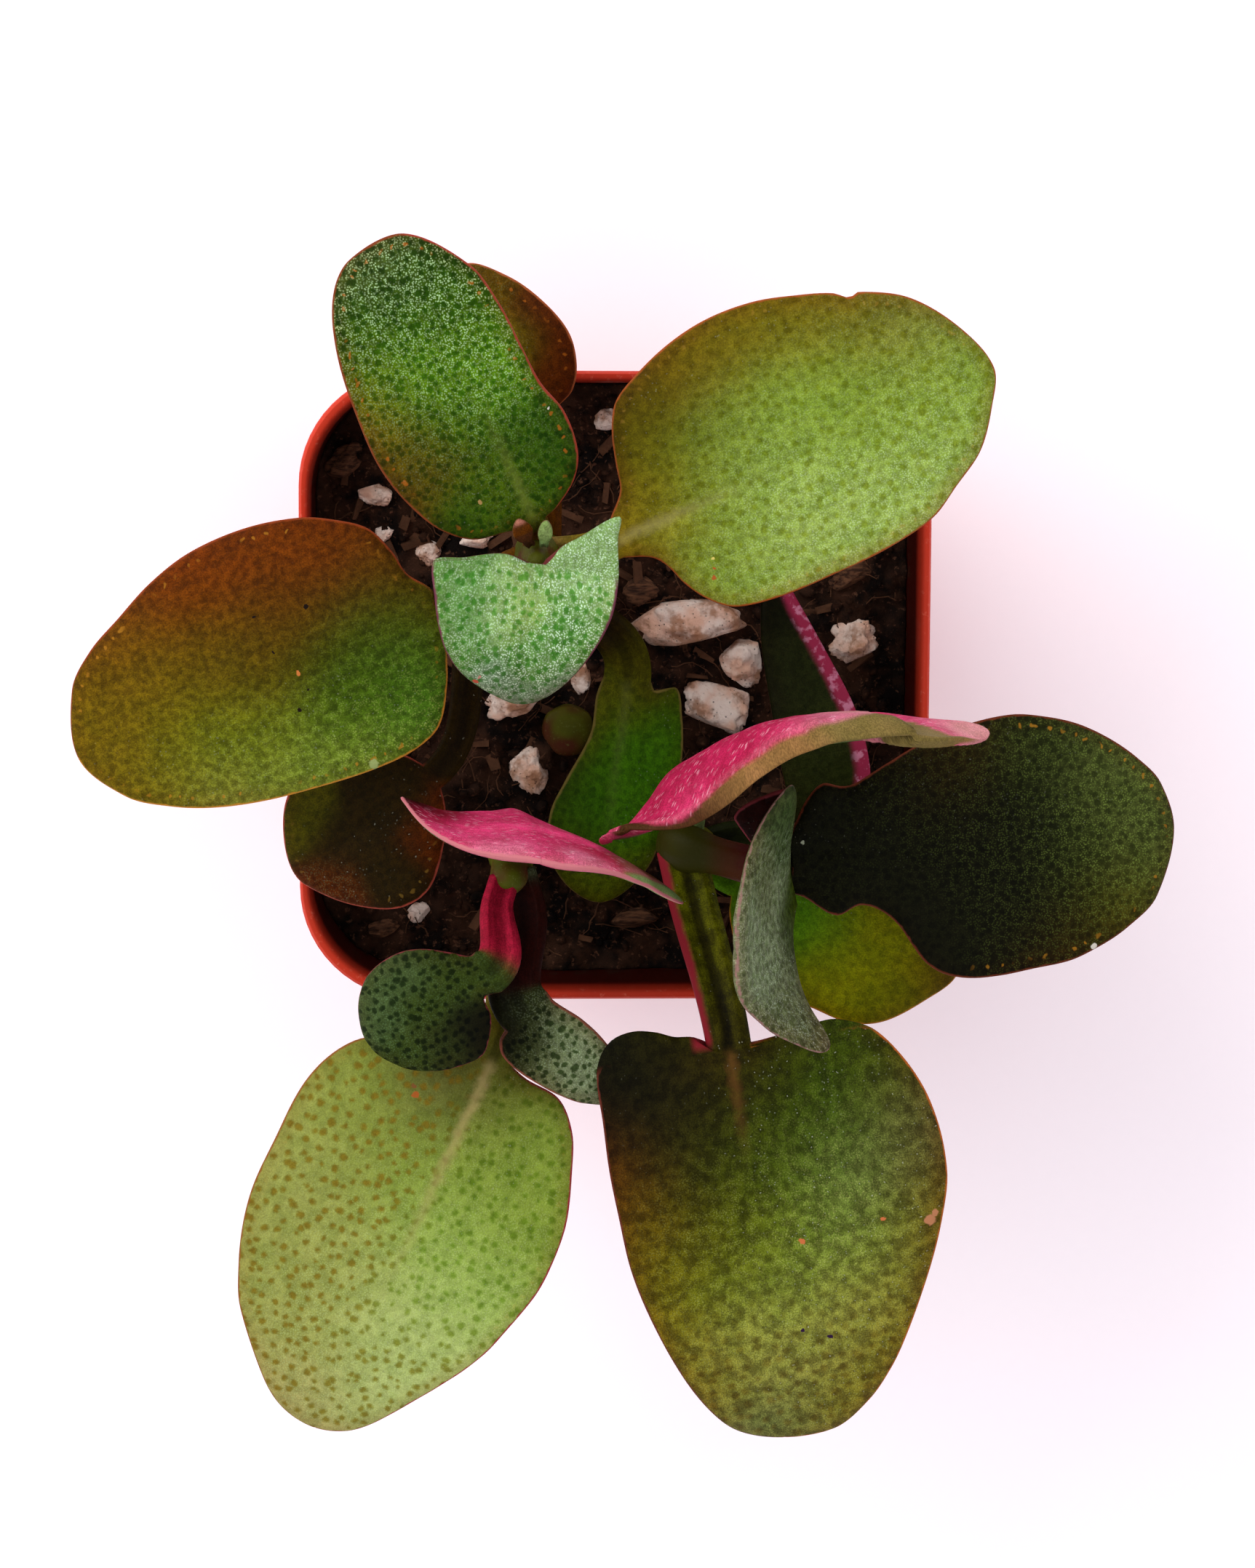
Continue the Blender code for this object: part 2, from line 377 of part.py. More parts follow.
def grain_mesh(size, turn, seed, grow=0.0):
    """A rough pebble round the origin, with its half sizes grown by grow."""
    bm = bmesh.new()
    bmesh.ops.create_icosphere(bm, subdivisions=2, radius=1)
    for vert in bm.verts:
        rough = noise.noise(vert.co * GRAIN_BUMPS + Vector((seed, 0, 0)))
        vert.co *= 1 + GRAIN_ROUGHNESS * rough
    stretch = Matrix.Diagonal([half * MM + grow for half in size] + [1])
    bmesh.ops.transform(bm, verts=bm.verts, matrix=Matrix.Rotation(math.radians(turn), 4, "Z") @ stretch)
    return bm


def add_grains(collection, cutters):
    """Each grain, and a dimple for it that is larger by the gap, to cut from the soil."""
    for look, table in (("pumice", PUMICE), ("bark", BARK)):
        for index, (x, y, along, across, up, turn) in enumerate(table):
            x, y = x * MM, y * MM
            place = Matrix.Translation((x, y, soil_height(x, y) + GRAIN_LIFT * up * MM))
            for grow, name, target in ((0, look, collection), (GAP, look + "_dimple", cutters)):
                bm = grain_mesh((along, across, up), turn, index * 7.3, grow)
                bmesh.ops.transform(bm, verts=bm.verts, matrix=place)
                obj = add_mesh(f"{name}_{index + 1:02d}", bm, look, target)
                if grow:
                    as_cutter(obj)


def add_soil(collection, cutters):
    """The soil fills the pot, with all above its rough surface cut away."""
    shape = [(side, height) for side, height in inner_rings(GAP)]
    shape[0] = (shape[0][0], FLOOR + GAP)
    soil = add_mesh("soil", lofted_square(shape), "peat", collection)
    bm = bmesh.new()
    bmesh.ops.create_grid(bm, x_segments=SOIL_CELLS, y_segments=SOIL_CELLS, size=0.6 * RIM_SIDE)
    for vert in bm.verts:
        vert.co.z = soil_height(vert.co.x, vert.co.y)
    made = bmesh.ops.extrude_face_region(bm, geom=list(bm.faces))["geom"]
    for item in made:
        if isinstance(item, bmesh.types.BMVert):
            item.co.z = 2 * POT_HEIGHT
    sky = add_mesh("soil_surface", bm, "peat", cutters)
    as_cutter(sky)
    cut = soil.modifiers.new("surface", "BOOLEAN")
    cut.operation = "DIFFERENCE"
    cut.object = sky
    holes = soil.modifiers.new("holes", "BOOLEAN")
    holes.operation = "DIFFERENCE"
    holes.operand_type = "COLLECTION"
    holes.collection = cutters_of_soil(cutters)


def cutters_of_soil(cutters):
    """The collection of the grains' dimples and of a plain hole for each stem."""
    group = bpy.data.collections.new("soil_cutters")
    cutters.children.link(group)
    for obj in list(cutters.objects):
        if "_dimple_" in obj.name:
            cutters.objects.unlink(obj)
            group.objects.link(obj)
    for name, points in STEMS.items():
        x, y, bottom, radius = points[0]
        top_x, top_y, top, _ = points[1]
        low = rim_point((x, y, bottom - HOLE_BELOW))
        high = rim_point((top_x, top_y, top + HOLE_ABOVE))
        axis = high - low
        room = (radius + HOLE_ROOM) * MM
        turn = axis.to_track_quat("Z", "Y").to_matrix().to_4x4()
        bm = bmesh.new()
        bmesh.ops.create_cone(bm, cap_ends=True, segments=HOLE_SIDES, radius1=room, radius2=room,
                              depth=axis.length, matrix=Matrix.Translation((low + high) / 2) @ turn)
        as_cutter(add_mesh(name + "_hole", bm, "peat", group))
    return group


def rim_point(point):
    """Millimetres with the height over the rim, to metres over the table."""
    return Vector((point[0] * MM, point[1] * MM, POT_HEIGHT + point[2] * MM))


def smooth_path(points, steps):
    """Points on a smooth curve through the given ones, each with the share of the length before it."""
    points = np.asarray(points, float)
    spans = np.linalg.norm(np.diff(points, axis=0), axis=1)
    knots = np.concatenate([[0], np.cumsum(spans)])
    slopes = np.empty_like(points)
    slopes[1:-1] = (points[2:] - points[:-2]) / (knots[2:] - knots[:-2])[:, None]
    slopes[0] = (points[1] - points[0]) / spans[0]
    slopes[-1] = (points[-1] - points[-2]) / spans[-1]
    at = np.linspace(0, knots[-1], steps)
    index = np.clip(np.searchsorted(knots, at, side="right") - 1, 0, len(spans) - 1)
    u = ((at - knots[index]) / spans[index])[:, None]
    reach = spans[index][:, None]
    path = ((2 * u**3 - 3 * u**2 + 1) * points[index] + (u**3 - 2 * u**2 + u) * reach * slopes[index]
            + (3 * u**2 - 2 * u**3) * points[index + 1] + (u**3 - u**2) * reach * slopes[index + 1])
    return path, at / knots[-1]


def add_stem(name, points, collection):
    """A tapering tube with swollen joints, as a curve with a radius at each point."""
    path, _ = smooth_path(points, STEM_STEPS)
    curve = bpy.data.curves.new(name, "CURVE")
    curve.dimensions = "3D"
    curve.bevel_depth = MM
    curve.bevel_resolution = TUBE_RESOLUTION
    curve.use_fill_caps = True
    spline = curve.splines.new("POLY")
    spline.points.add(len(path) - 1)
    for point, (x, y, z, radius) in zip(spline.points, path):
        point.co = (*rim_point((x, y, z)), 1)
        point.radius = radius
    curve.materials.append(material("stem_green"))
    collection.objects.link(bpy.data.objects.new(name, curve))


def unit(vector):
    """The vector at a length of 1."""
    return vector / np.linalg.norm(vector)


class Blade:
    """The curved middle surface of a leaf blade, in mm."""

    def __init__(self, plan):
        self.base, self.tip = np.array(plan["base"], float), np.array(plan["tip"], float)
        self.length = np.linalg.norm(self.tip - self.base)
        self.along = (self.tip - self.base) / self.length
        face = np.array(plan.get("face", (0, 0, 1)), float)
        self.up = unit(face - (face @ self.along) * self.along)
        self.across = np.cross(self.up, self.along)
        self.arch, self.droop = plan["arch"], plan["droop"]
        self.low, self.high = plan["low"], plan["high"]
        self.half = max(width for _, width in plan["left"] + plan["right"])
        self.neck = plan["stalk"][1] / 2
        self.thick = plan.get("thick", BLADE_THICKNESS)
        self.stalk_depth = max(STALK_LEAST, STALK_DEPTH * sum(plan["stalk"]) / 2)
        left = [(0, self.neck)] + plan["left"]
        right = [(0, -self.neck)] + [(a, -w) for a, w in plan["right"]]
        outline = left + [(self.length, 0)] + right[::-1]
        path, _ = smooth_path(outline, OUTLINE_STEPS)
        ends = int(np.argmax(path[:, 0] - np.abs(path[:, 1])))
        self.sides = (path[: ends + 1], path[ends:][::-1])

    def side_point(self, station, side):
        path = self.sides[side]
        steps = np.linalg.norm(np.diff(path, axis=0), axis=1)
        share = np.concatenate([[0], np.cumsum(steps)]) / steps.sum()
        return np.array([np.interp(station, share, path[:, 0]), np.interp(station, share, path[:, 1])])

    def plan_point(self, station, across):
        """Distances along and across the midrib at a station, with across from 1, left, to -1, right."""
        middle = np.array([station * self.length, 0])
        edge = self.side_point(station, 0 if across >= 0 else 1)
        return middle + abs(across) * (edge - middle)

    def height(self, a, w):
        q = min(max(a / self.length, 0), 1)
        v = min(max(w / self.half, -1), 1)
        low, high = section_height(self.low, v), section_height(self.high, v)
        return self.arch * 4 * q * (1 - q) + self.droop * q**3 + low * (1 - q) + high * q

    def point(self, a, w):
        return self.base + a * self.along + w * self.across + self.height(a, w) * self.up

    def normal(self, a, w):
        slope_a = (self.height(a + SLOPE_STEP, w) - self.height(a - SLOPE_STEP, w)) / (2 * SLOPE_STEP)
        slope_w = (self.height(a, w + SLOPE_STEP) - self.height(a, w - SLOPE_STEP)) / (2 * SLOPE_STEP)
        return unit(self.up - slope_a * self.along - slope_w * self.across)


def section_height(heights, v):
    """A smooth height from those given, which are evenly spaced from v = 1 to v = -1."""
    place = (1 - v) / 2 * (len(heights) - 1)
    index = min(int(place), len(heights) - 2)
    u = place - index
    values = [2 * heights[0] - heights[1], *heights, 2 * heights[-1] - heights[-2]]
    before, first, second, after = values[index: index + 4]
    return 0.5 * (2 * first + (second - before) * u + (2 * before - 5 * first + 4 * second - after) * u**2
                  + (3 * first - before - 3 * second + after) * u**3)


def blade_ring(blade, station):
    """One closed section of the blade, thick at the midrib and thin at its edges."""
    top, bottom = [], []
    fade = math.sqrt(min(1, (1 - station) / TIP_FADE))
    keel = max(0, blade.stalk_depth - blade.thick) * max(0, 1 - station / KEEL_SHARE)
    for across in ACROSS:
        a, w = blade.plan_point(station, across)
        point, normal = blade.point(a, w), blade.normal(a, w)
        if abs(across) == 1:
            top.append(point)
            continue
        half = blade.thick / 2 * (1 - EDGE_THINNING * across**2) * fade
        top.append(point + half * normal)
        bottom.append(point - (half + keel * math.exp(-(w / KEEL_WIDTH) ** 2)) * normal)
    return top + bottom[::-1]


def stalk_rings(plan, blade):
    """Sections of the grooved stalk, from just outside its stem to the blade's base."""
    way = unit(np.array(plan["way"], float))
    start = np.array(plan["joint"], float) + (plan["reach"] + STALK_GAP) * way
    end = blade.point(0, 0)
    heading = unit(blade.point(1, 0) - blade.point(0, 0))
    span = np.linalg.norm(end - start)
    bend = [start, start + way * span * STALK_BEND, end - heading * span * STALK_BEND, end]
    end_up = blade.normal(0.3, 0)
    steps = max(1, min(STALK_STEPS, int(span / STALK_STEP_LEAST)))
    start_up = np.array([0, 0, 1.0]) if steps > 2 else end_up
    start_up = unit(start_up - (start_up @ way) * way)
    rings = []
    for step in range(steps):
        u = step / steps
        weights = ((1 - u) ** 3, 3 * u * (1 - u) ** 2, 3 * u**2 * (1 - u), u**3)
        centre = sum(weight * point for weight, point in zip(weights, bend))
        slopes = (-3 * (1 - u) ** 2, 3 * (1 - u) * (1 - 3 * u), 3 * u * (2 - 3 * u), 3 * u**2)
        ahead = unit(sum(weight * point for weight, point in zip(slopes, bend)))
        up = start_up * (1 - u) + end_up * u
        up = unit(up - (up @ ahead) * ahead)
        side = np.cross(up, ahead)
        width = plan["stalk"][0] * (1 - u) + plan["stalk"][1] * u
        rings.append(stalk_ring(centre, side, up, width / 2, blade.stalk_depth))
    return rings


def stalk_ring(centre, side, up, half_width, depth):
    """One section of the stalk: an ellipse with a channel along its upper side."""
    top, bottom = [], []
    for across in ACROSS:
        rim = centre + across * half_width * side
        if abs(across) == 1:
            top.append(rim)
            continue
        round_off = math.sqrt(1 - across**2)
        groove = STALK_CHANNEL * depth * max(0, 1 - (across / CHANNEL_SHARE) ** 2)
        top.append(rim + (depth / 2 * round_off - groove) * up)
        bottom.append(rim - depth / 2 * round_off * up)
    return top + bottom[::-1]


def add_leaf(name, plan, collection):
    """A blade and its stalk lofted as one closed body. Both faces are split along the same diagonals."""
    blade = Blade(plan)
    rings = [] if plan.get("sessile") else stalk_rings(plan, blade)
    rings += [blade_ring(blade, station) for station in BLADE_STATIONS]
    bm = bmesh.new()
    rows = [[bm.verts.new(rim_point(point)) for point in ring] for ring in rings]
    tip = bm.verts.new(rim_point(blade.point(blade.length, 0)))
    count = len(rows[0])
    for near, far in zip(rows, rows[1:]):
        for i in range(count):
            j = (i + 1) % count
            if i < count // 2:
                bm.faces.new((near[i], near[j], far[j]))
                bm.faces.new((near[i], far[j], far[i]))
            else:
                bm.faces.new((near[i], near[j], far[i]))
                bm.faces.new((near[j], far[j], far[i]))
    for i in range(count):
        bm.faces.new((rows[-1][i], rows[-1][(i + 1) % count], tip))
    bm.faces.new(rows[0])
    return add_mesh(name, bm, plan["colour"], collection)


def main():
    clear_scene()
    parts = new_collection("potted_fairy_crassula")
    cutters = new_collection("cutters")
    add_pot(parts, cutters)
    add_grains(parts, cutters)
    add_soil(parts, cutters)
    for name, points in STEMS.items():
        add_stem(name, points, parts)
    for name, plan in LEAVES.items():
        add_leaf(name, plan, parts)


main()
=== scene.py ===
# %% [markdown]
# # Potted fairy crassula
# Three leafy shoots of a small succulent in a square nursery pot of peaty soil.
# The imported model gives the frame: each node is in metres, with the pot's underside at the origin.
# The scene keeps its size and places, and dresses it with finer leaves, stones, soil and finishes.

# %% Load the frame
import math
import random

import bmesh
import bpy
import numpy as np
from mathutils import Matrix, Vector, noise


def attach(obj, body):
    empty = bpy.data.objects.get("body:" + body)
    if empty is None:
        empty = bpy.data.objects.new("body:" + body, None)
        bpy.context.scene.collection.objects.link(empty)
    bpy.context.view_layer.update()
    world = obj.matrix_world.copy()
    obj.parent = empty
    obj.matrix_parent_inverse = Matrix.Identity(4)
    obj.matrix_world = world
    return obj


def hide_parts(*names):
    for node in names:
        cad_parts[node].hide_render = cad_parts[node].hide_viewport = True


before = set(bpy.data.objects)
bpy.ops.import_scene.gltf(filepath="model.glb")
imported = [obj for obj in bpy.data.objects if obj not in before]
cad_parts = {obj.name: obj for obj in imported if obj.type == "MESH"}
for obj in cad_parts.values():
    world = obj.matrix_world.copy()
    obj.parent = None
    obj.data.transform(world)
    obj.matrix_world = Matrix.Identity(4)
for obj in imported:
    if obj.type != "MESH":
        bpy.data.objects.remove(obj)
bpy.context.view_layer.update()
MM = 0.001
RIM_HEIGHT = 50 * MM


def rows_of(text):
    """The rows of a table written as text, with commas between rows. Words that are no number stay words."""
    return [tuple(word if word[0].isalpha() else float(word) for word in row.split())
            for row in text.split(",")]


# %% [markdown]
# ## The camera
# The picture is taken from nearly straight above, from about 0.4 m away, so the front leaves look larger.
# A camera can be aimed with a constraint, but a matrix of its own axes also keeps its slight roll.
# The lens follows from the picture's height of 2156 pixels, on a sensor whose long side is 36 mm.

# %% Camera
TILT, HEADING, ROLL = math.radians(7.5), math.radians(112), math.radians(0.32)
DISTANCE, SIDESTEP, RAISE = 380 * MM, 1.03 * MM, -8.35 * MM
FOCAL_PIXELS, PICTURE_HEIGHT, SENSOR = 6000, 2156, 36

back = Vector((math.sin(TILT) * math.cos(HEADING), math.sin(TILT) * math.sin(HEADING), math.cos(TILT)))
right = (-back).cross(Vector((0, 1, 0))).normalized()
right = (Matrix.Rotation(-ROLL, 3, -back) @ right).normalized()
above = back.cross(right)
seat = back * DISTANCE + right * SIDESTEP + above * RAISE + Vector((0, 0, RIM_HEIGHT))


def new_object(name, data):
    """An object in the scene for this camera, light or mesh."""
    made = bpy.data.objects.new(name, data)
    bpy.context.scene.collection.objects.link(made)
    return made


lens = bpy.data.cameras.new("camera")
lens.lens = FOCAL_PIXELS * SENSOR / PICTURE_HEIGHT
lens.clip_start = 0.01
camera = new_object("camera", lens)
camera.matrix_world = Matrix.Translation(seat) @ Matrix((right, above, back)).transposed().to_4x4()
bpy.context.scene.camera = camera
print("lens", round(lens.lens, 1), "mm, from", [round(side, 3) for side in seat])

# %% [markdown]
# ## Light
# The key light is a wide soft panel at the upper left, and a bright sky of one colour fills the
# shadows. A lamp straight above would be simpler, but a leaf that faces the camera mirrors what is
# beside the camera, so the dark leaves would turn grey.

# %% Light
KEY_PLACE, KEY_SIZE, KEY_POWER, KEY_COLOUR = Vector((-0.55, 0.42, 0.62)), 0.75, 6.0, (1.0, 0.985, 0.96)
SKY_COLOUR, SKY_STRENGTH = (0.98, 0.97, 1.0, 1), 1.07

key = bpy.data.lights.new("key_light", "AREA")
key.shape, key.size, key.energy, key.color = "SQUARE", KEY_SIZE, KEY_POWER, KEY_COLOUR
lamp = new_object("key_light", key)
lamp.location = KEY_PLACE
lamp.rotation_euler = (Vector((0, 0, RIM_HEIGHT)) - KEY_PLACE).to_track_quat("-Z", "Y").to_euler()

sky = bpy.data.worlds.new("sky")
sky.use_nodes = True
glow = sky.node_tree.nodes["Background"].inputs
glow["Color"].default_value, glow["Strength"].default_value = SKY_COLOUR, SKY_STRENGTH
bpy.context.scene.world = sky
bpy.context.scene.view_settings.view_transform = "Standard"

# %% [markdown]
# ## A short way to write materials
# Node trees are long to write, so a small class adds one node per call and returns its output, and
# those outputs add, subtract and multiply like numbers. Each finish builds up one tone: a first colour,
# then layers that are painted over it or tint it. Every finish reads Object coordinates or the
# piece's own attributes, in millimetres.

# %% Material helper
class Value:
    """One output of a node, which takes + - * as a number does."""

    def __init__(self, finish, socket):
        self.finish, self.socket = finish, socket

    def __add__(self, other):
        return self.finish.math("ADD", self, other)

    def __sub__(self, other):
        return self.finish.math("SUBTRACT", self, other)

    def __rsub__(self, other):
        return self.finish.math("SUBTRACT", other, self)

    def __mul__(self, other):
        return self.finish.math("MULTIPLY", self, other)

    def __abs__(self):
        return self.finish.math("ABSOLUTE", self)

    def ramp(self, low, high, start=0.0, end=1.0):
        """start below low, end above high, and smooth between them."""
        return self.finish.node("MapRange", settings={"interpolation_type": "SMOOTHSTEP"}, Value=self,
                                From_Min=low, From_Max=high, To_Min=start, To_Max=end)


class Finish:
    """A Principled material whose nodes are added one call at a time."""

    def __init__(self, name, roughness, specular):
        self.material = bpy.data.materials.new(name)
        self.material.use_nodes = True
        self.tree = self.material.node_tree
        self.shader = self.tree.nodes["Principled BSDF"].inputs
        self.shader["Roughness"].default_value = roughness
        self.shader["Specular IOR Level"].default_value = specular
        self.tone = None

    def wire(self, socket, value):
        """Gives a socket a number, a colour or another node's output."""
        if isinstance(value, Value):
            self.tree.links.new(value.socket, socket)
        elif isinstance(value, tuple) and len(socket.default_value) == 4:
            socket.default_value = (*value, 1)
        else:
            socket.default_value = value

    def node(self, kind, output=0, settings=None, **sockets):
        """Adds a node, sets its options and its sockets by name, and returns one output."""
        made = self.tree.nodes.new("ShaderNode" + kind)
        for option, value in (settings or {}).items():
            setattr(made, option, value)
        ports = {port.identifier.replace(" ", "_"): port for port in made.inputs}
        for socket, value in sockets.items():
            self.wire(ports[socket], value)
        return Value(self, made.outputs[output])

    def place(self):
        """Object coordinates in millimetres."""
        here = self.node("TexCoord", "Object")
        return self.node("VectorMath", settings={"operation": "SCALE"}, Vector=here, Scale=1 / MM)

    def mark(self, name, output="Vector"):
        """An attribute of the piece."""
        return self.node("Attribute", output, {"attribute_name": name})

    def stretch(self, where, scale, turn=0.0):
        """Coordinates turned about z and scaled, so that a pattern in them runs in streaks."""
        return self.node("Mapping", Vector=where, Rotation=(0, 0, turn), Scale=scale)

    def parts(self, vector):
        """The three numbers of a vector."""
        made = self.tree.nodes.new("ShaderNodeSeparateXYZ")
        self.wire(made.inputs[0], vector)
        return [Value(self, output) for output in made.outputs]

    def math(self, operation, first, second=0.0):
        """One sum on two numbers or outputs."""
        return self.node("Math", settings={"operation": operation}, Value=first, Value_001=second)

    def noise(self, where, scale, detail=2.0, roughness=0.5):
        """Soft clouds, with this many to a millimetre."""
        return self.node("TexNoise", Vector=where, Scale=scale, Detail=detail, Roughness=roughness)

    def cells(self, where, scale, randomness=1.0, flat=True):
        """Distance to the nearest of many scattered points. Flat ones lie in the plane of x and y."""
        return self.node("TexVoronoi", "Distance", {"voronoi_dimensions": "2D" if flat else "3D"},
                         Vector=where, Scale=scale, Randomness=randomness)

    def mix(self, share, first, second, blend="MIX"):
        """A blend of two colours."""
        made = self.tree.nodes.new("ShaderNodeMix")
        made.data_type, made.blend_type = "RGBA", blend
        for port, value in ((0, share), (6, first), (7, second)):
            self.wire(made.inputs[port], value)
        return Value(self, made.outputs[2])

    def paint(self, share, shade):
        """Lays a colour over the tone so far."""
        self.tone = self.mix(share, self.tone, shade)

    def tint(self, share, shade):
        """Multiplies the tone so far by a colour."""
        self.tone = self.mix(share, self.tone, shade, "MULTIPLY")

    def close(self, height, depth, strength, roughness=None):
        """Wires the tone, the roughness, and a relief of depth mm where height is 1."""
        self.wire(self.shader["Base Color"], self.tone)
        if roughness:
            self.wire(self.shader["Roughness"], roughness)
        relief = self.node("Bump", "Normal", Height=height, Distance=depth * MM, Strength=strength)
        self.wire(self.shader["Normal"], relief)


# %% [markdown]
# ## The table
# A bright table of pale lilac white runs out of the picture. It is lit a little past white, so only
# the plant's shadow shows the tint. It is stage and not part of the plant.

# %% Table
TABLE_HALF = 2.5
table_top = Finish("lilac_white_table", 0.7, 0.2)
paper = table_top.noise(table_top.place(), 0.9, 3)
table_top.tone = table_top.mix(paper, (0.93, 0.865, 0.915), (0.945, 0.88, 0.93))
table_top.wire(table_top.shader["Base Color"], table_top.tone)
bm = bmesh.new()
bmesh.ops.create_grid(bm, x_segments=1, y_segments=1, size=TABLE_HALF)
mesh = bpy.data.meshes.new("table")
bm.to_mesh(mesh)
mesh.materials.append(table_top.material)
floor = new_object("table", mesh)

# %% [markdown]
# ## The pot
# A moulded nursery pot: a thin square shell with round corners, a draft so that pots nest, a stepped
# collar and a stiff rim band. One rounded square is extruded ring by ring, from the foot up the
# outside, over the rim and down the inside, which keeps the wall's thickness exact. A bevel would
# round every edge alike, so the few rings near each edge give each its own small round.

# %% Pot shape
RIM_SIDE, CORNER, CORNER_STEPS = 55.0, 10.0, 14
OUTSIDE = rows_of("""
    43.6 0, 44.2 0.06, 44.7 0.25, 45 0.6, 45.5 3.2, 52.1 36.4, 52.4 37.4, 52.7 37.7, 53.9 38.3, 54.15 38.5,
    54.2 38.9, 54.9 48.8, 55 49.3, 54.9 49.75, 54.5 50""")
INSIDE = rows_of("""
    53.9 50, 53.4 49.8, 53.2 49.4, 52.9 48.6, 52.25 39.2, 52.1 38.7, 50.9 37.7, 50.5 37, 43.7 2.6,
    43.2 1.6, 42.6 1.2""")
DRAIN_RADIUS, DRAIN_OFFSET, DRAIN_SIDES = 2.2, 13.0, 48
DRILL_LENGTH = 6
SHARP_EDGE = 42


def extruded(bm, edges):
    """Extrudes edges in place, and returns the new edges and points."""
    made = bmesh.ops.extrude_edge_only(bm, edges=edges)["geom"]
    return ([item for item in made if isinstance(item, bmesh.types.BMEdge)],
            [item for item in made if isinstance(item, bmesh.types.BMVert)])


def closed(bm, edges):
    """Fills the last ring and turns all faces outward."""
    bmesh.ops.contextual_create(bm, geom=edges)
    bmesh.ops.recalc_face_normals(bm, faces=bm.faces)


def loft(bm, outside, inside):
    """Extrudes the outline through rings of (side, height) in mm, marks the inner ones, and closes it."""
    inner = bm.verts.layers.float.new("inner")
    side, height = outside[0]
    bmesh.ops.transform(bm, verts=bm.verts, matrix=Matrix.Diagonal((side * MM, side * MM, 1, 1)))
    bmesh.ops.translate(bm, verts=bm.verts, vec=(0, 0, height * MM))
    edges = list(bm.edges)
    for step, (wider, higher) in enumerate(outside[1:] + inside):
        edges, verts = extruded(bm, edges)
        bmesh.ops.scale(bm, verts=verts, vec=(wider / side, wider / side, 1))
        bmesh.ops.translate(bm, verts=verts, vec=(0, 0, (higher - height) * MM))
        for vert in verts:
            vert[inner] = float(step >= len(outside))
        side, height = wider, higher
    closed(bm, edges)


def to_mesh(bm, name, sharp=None):
    """The bmesh as a mesh, shaded smooth up to the sharp angle in degrees."""
    mesh = bpy.data.meshes.new(name)
    bm.to_mesh(mesh)
    bm.free()
    mesh.shade_smooth()
    if sharp:
        mesh.set_sharp_from_angle(angle=math.radians(sharp))
    return mesh


def dress(piece, finish, slot, *nodes):
    """Gives a piece its material, and lets it stand for its CAD nodes on the only body. The slot is not used."""
    piece.data.materials.clear()
    piece.data.materials.append(finish.material)
    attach(piece, "root")
    if nodes:
        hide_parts(*nodes)
    print(piece.name, len(piece.data.polygons), "faces")


bm = bmesh.new()
bmesh.ops.create_grid(bm, x_segments=1, y_segments=1, size=0.5)
bmesh.ops.bevel(bm, geom=list(bm.verts), affect="VERTICES", offset=CORNER / RIM_SIDE,
                segments=CORNER_STEPS, profile=0.5, material=-1)
loft(bm, OUTSIDE, INSIDE)
shell = new_object("pot_shell", to_mesh(bm, "pot_shell"))

# %% [markdown]
# ## The drain holes
# The four holes in the floor are cut by one mesh of four short rods. The cut is taken over as plain
# mesh, because the rods would otherwise have to stay in the scene.

# %% Drain holes
bm = bmesh.new()
for across, along in ((1, 1), (1, -1), (-1, 1), (-1, -1)):
    spot = Matrix.Translation((across * DRAIN_OFFSET * MM, along * DRAIN_OFFSET * MM, 0))
    bmesh.ops.create_cone(bm, cap_ends=True, segments=DRAIN_SIDES, radius1=DRAIN_RADIUS * MM,
                          radius2=DRAIN_RADIUS * MM, depth=DRILL_LENGTH * MM, matrix=spot)
drill = new_object("drill", to_mesh(bm, "drill"))
cut = shell.modifiers.new("drains", "BOOLEAN")
cut.operation, cut.solver, cut.object = "DIFFERENCE", "EXACT", drill
bpy.context.view_layer.update()
cut_mesh = bpy.data.meshes.new_from_object(shell.evaluated_get(bpy.context.evaluated_depsgraph_get()))
bpy.data.objects.remove(drill)
shell.modifiers.clear()
shell.data = cut_mesh
shell.data.set_sharp_from_angle(angle=math.radians(SHARP_EDGE))

# %% [markdown]
# ## Terracotta-coloured plastic
# The plastic is dyed through, a deep orange red, with a satin moulded skin. Slow noise shifts the dye
# a little, a fine grain gives the skin its tooth, and upright streaks of gloss are where it drained in
# the mould. The inside lies in the dark of the leaves, so it is painted near black as painted shade;
# peat dust clings to it near the soil, and scuffs lighten the rim and foot.

# %% Pot finish
plastic = Finish("terracotta_plastic", 0.45, 0.1)
here = plastic.place()
height = plastic.parts(here)[2]
plastic.tone = plastic.mix(plastic.noise(here, 0.07, 3), (0.45, 0.026, 0.010), (0.57, 0.044, 0.018))
rubbed = plastic.math("MAXIMUM", height.ramp(48.8, 50), height.ramp(1.6, 0.2))
plastic.paint(plastic.noise(here, 1.6, 5, 0.7).ramp(0.56, 0.72) * rubbed * 0.35, (0.80, 0.26, 0.17))
inside = plastic.mark("inner", "Fac")
# Painted shade: the inside turns near black below the rim, where the leaves shade it.
plastic.paint(inside * height.ramp(49.9, 47, 0.3, 0.96), (0.014, 0.001, 0.0005))
dust = plastic.noise(here, 0.9, 6, 0.65).ramp(0.5, 0.68) * height.ramp(46.5, 42) * height.ramp(30, 36)
plastic.paint(dust * inside, (0.03, 0.014, 0.008))
streaks = plastic.noise(plastic.stretch(here, (1.2, 1.2, 0.06)), 0.5, 4)
plastic.close(plastic.noise(here, 6, 3), 0.02, 0.5, streaks.ramp(0.3, 0.7, 0.36, 0.5))
dress(shell, plastic, "pot_plastic", "pot")

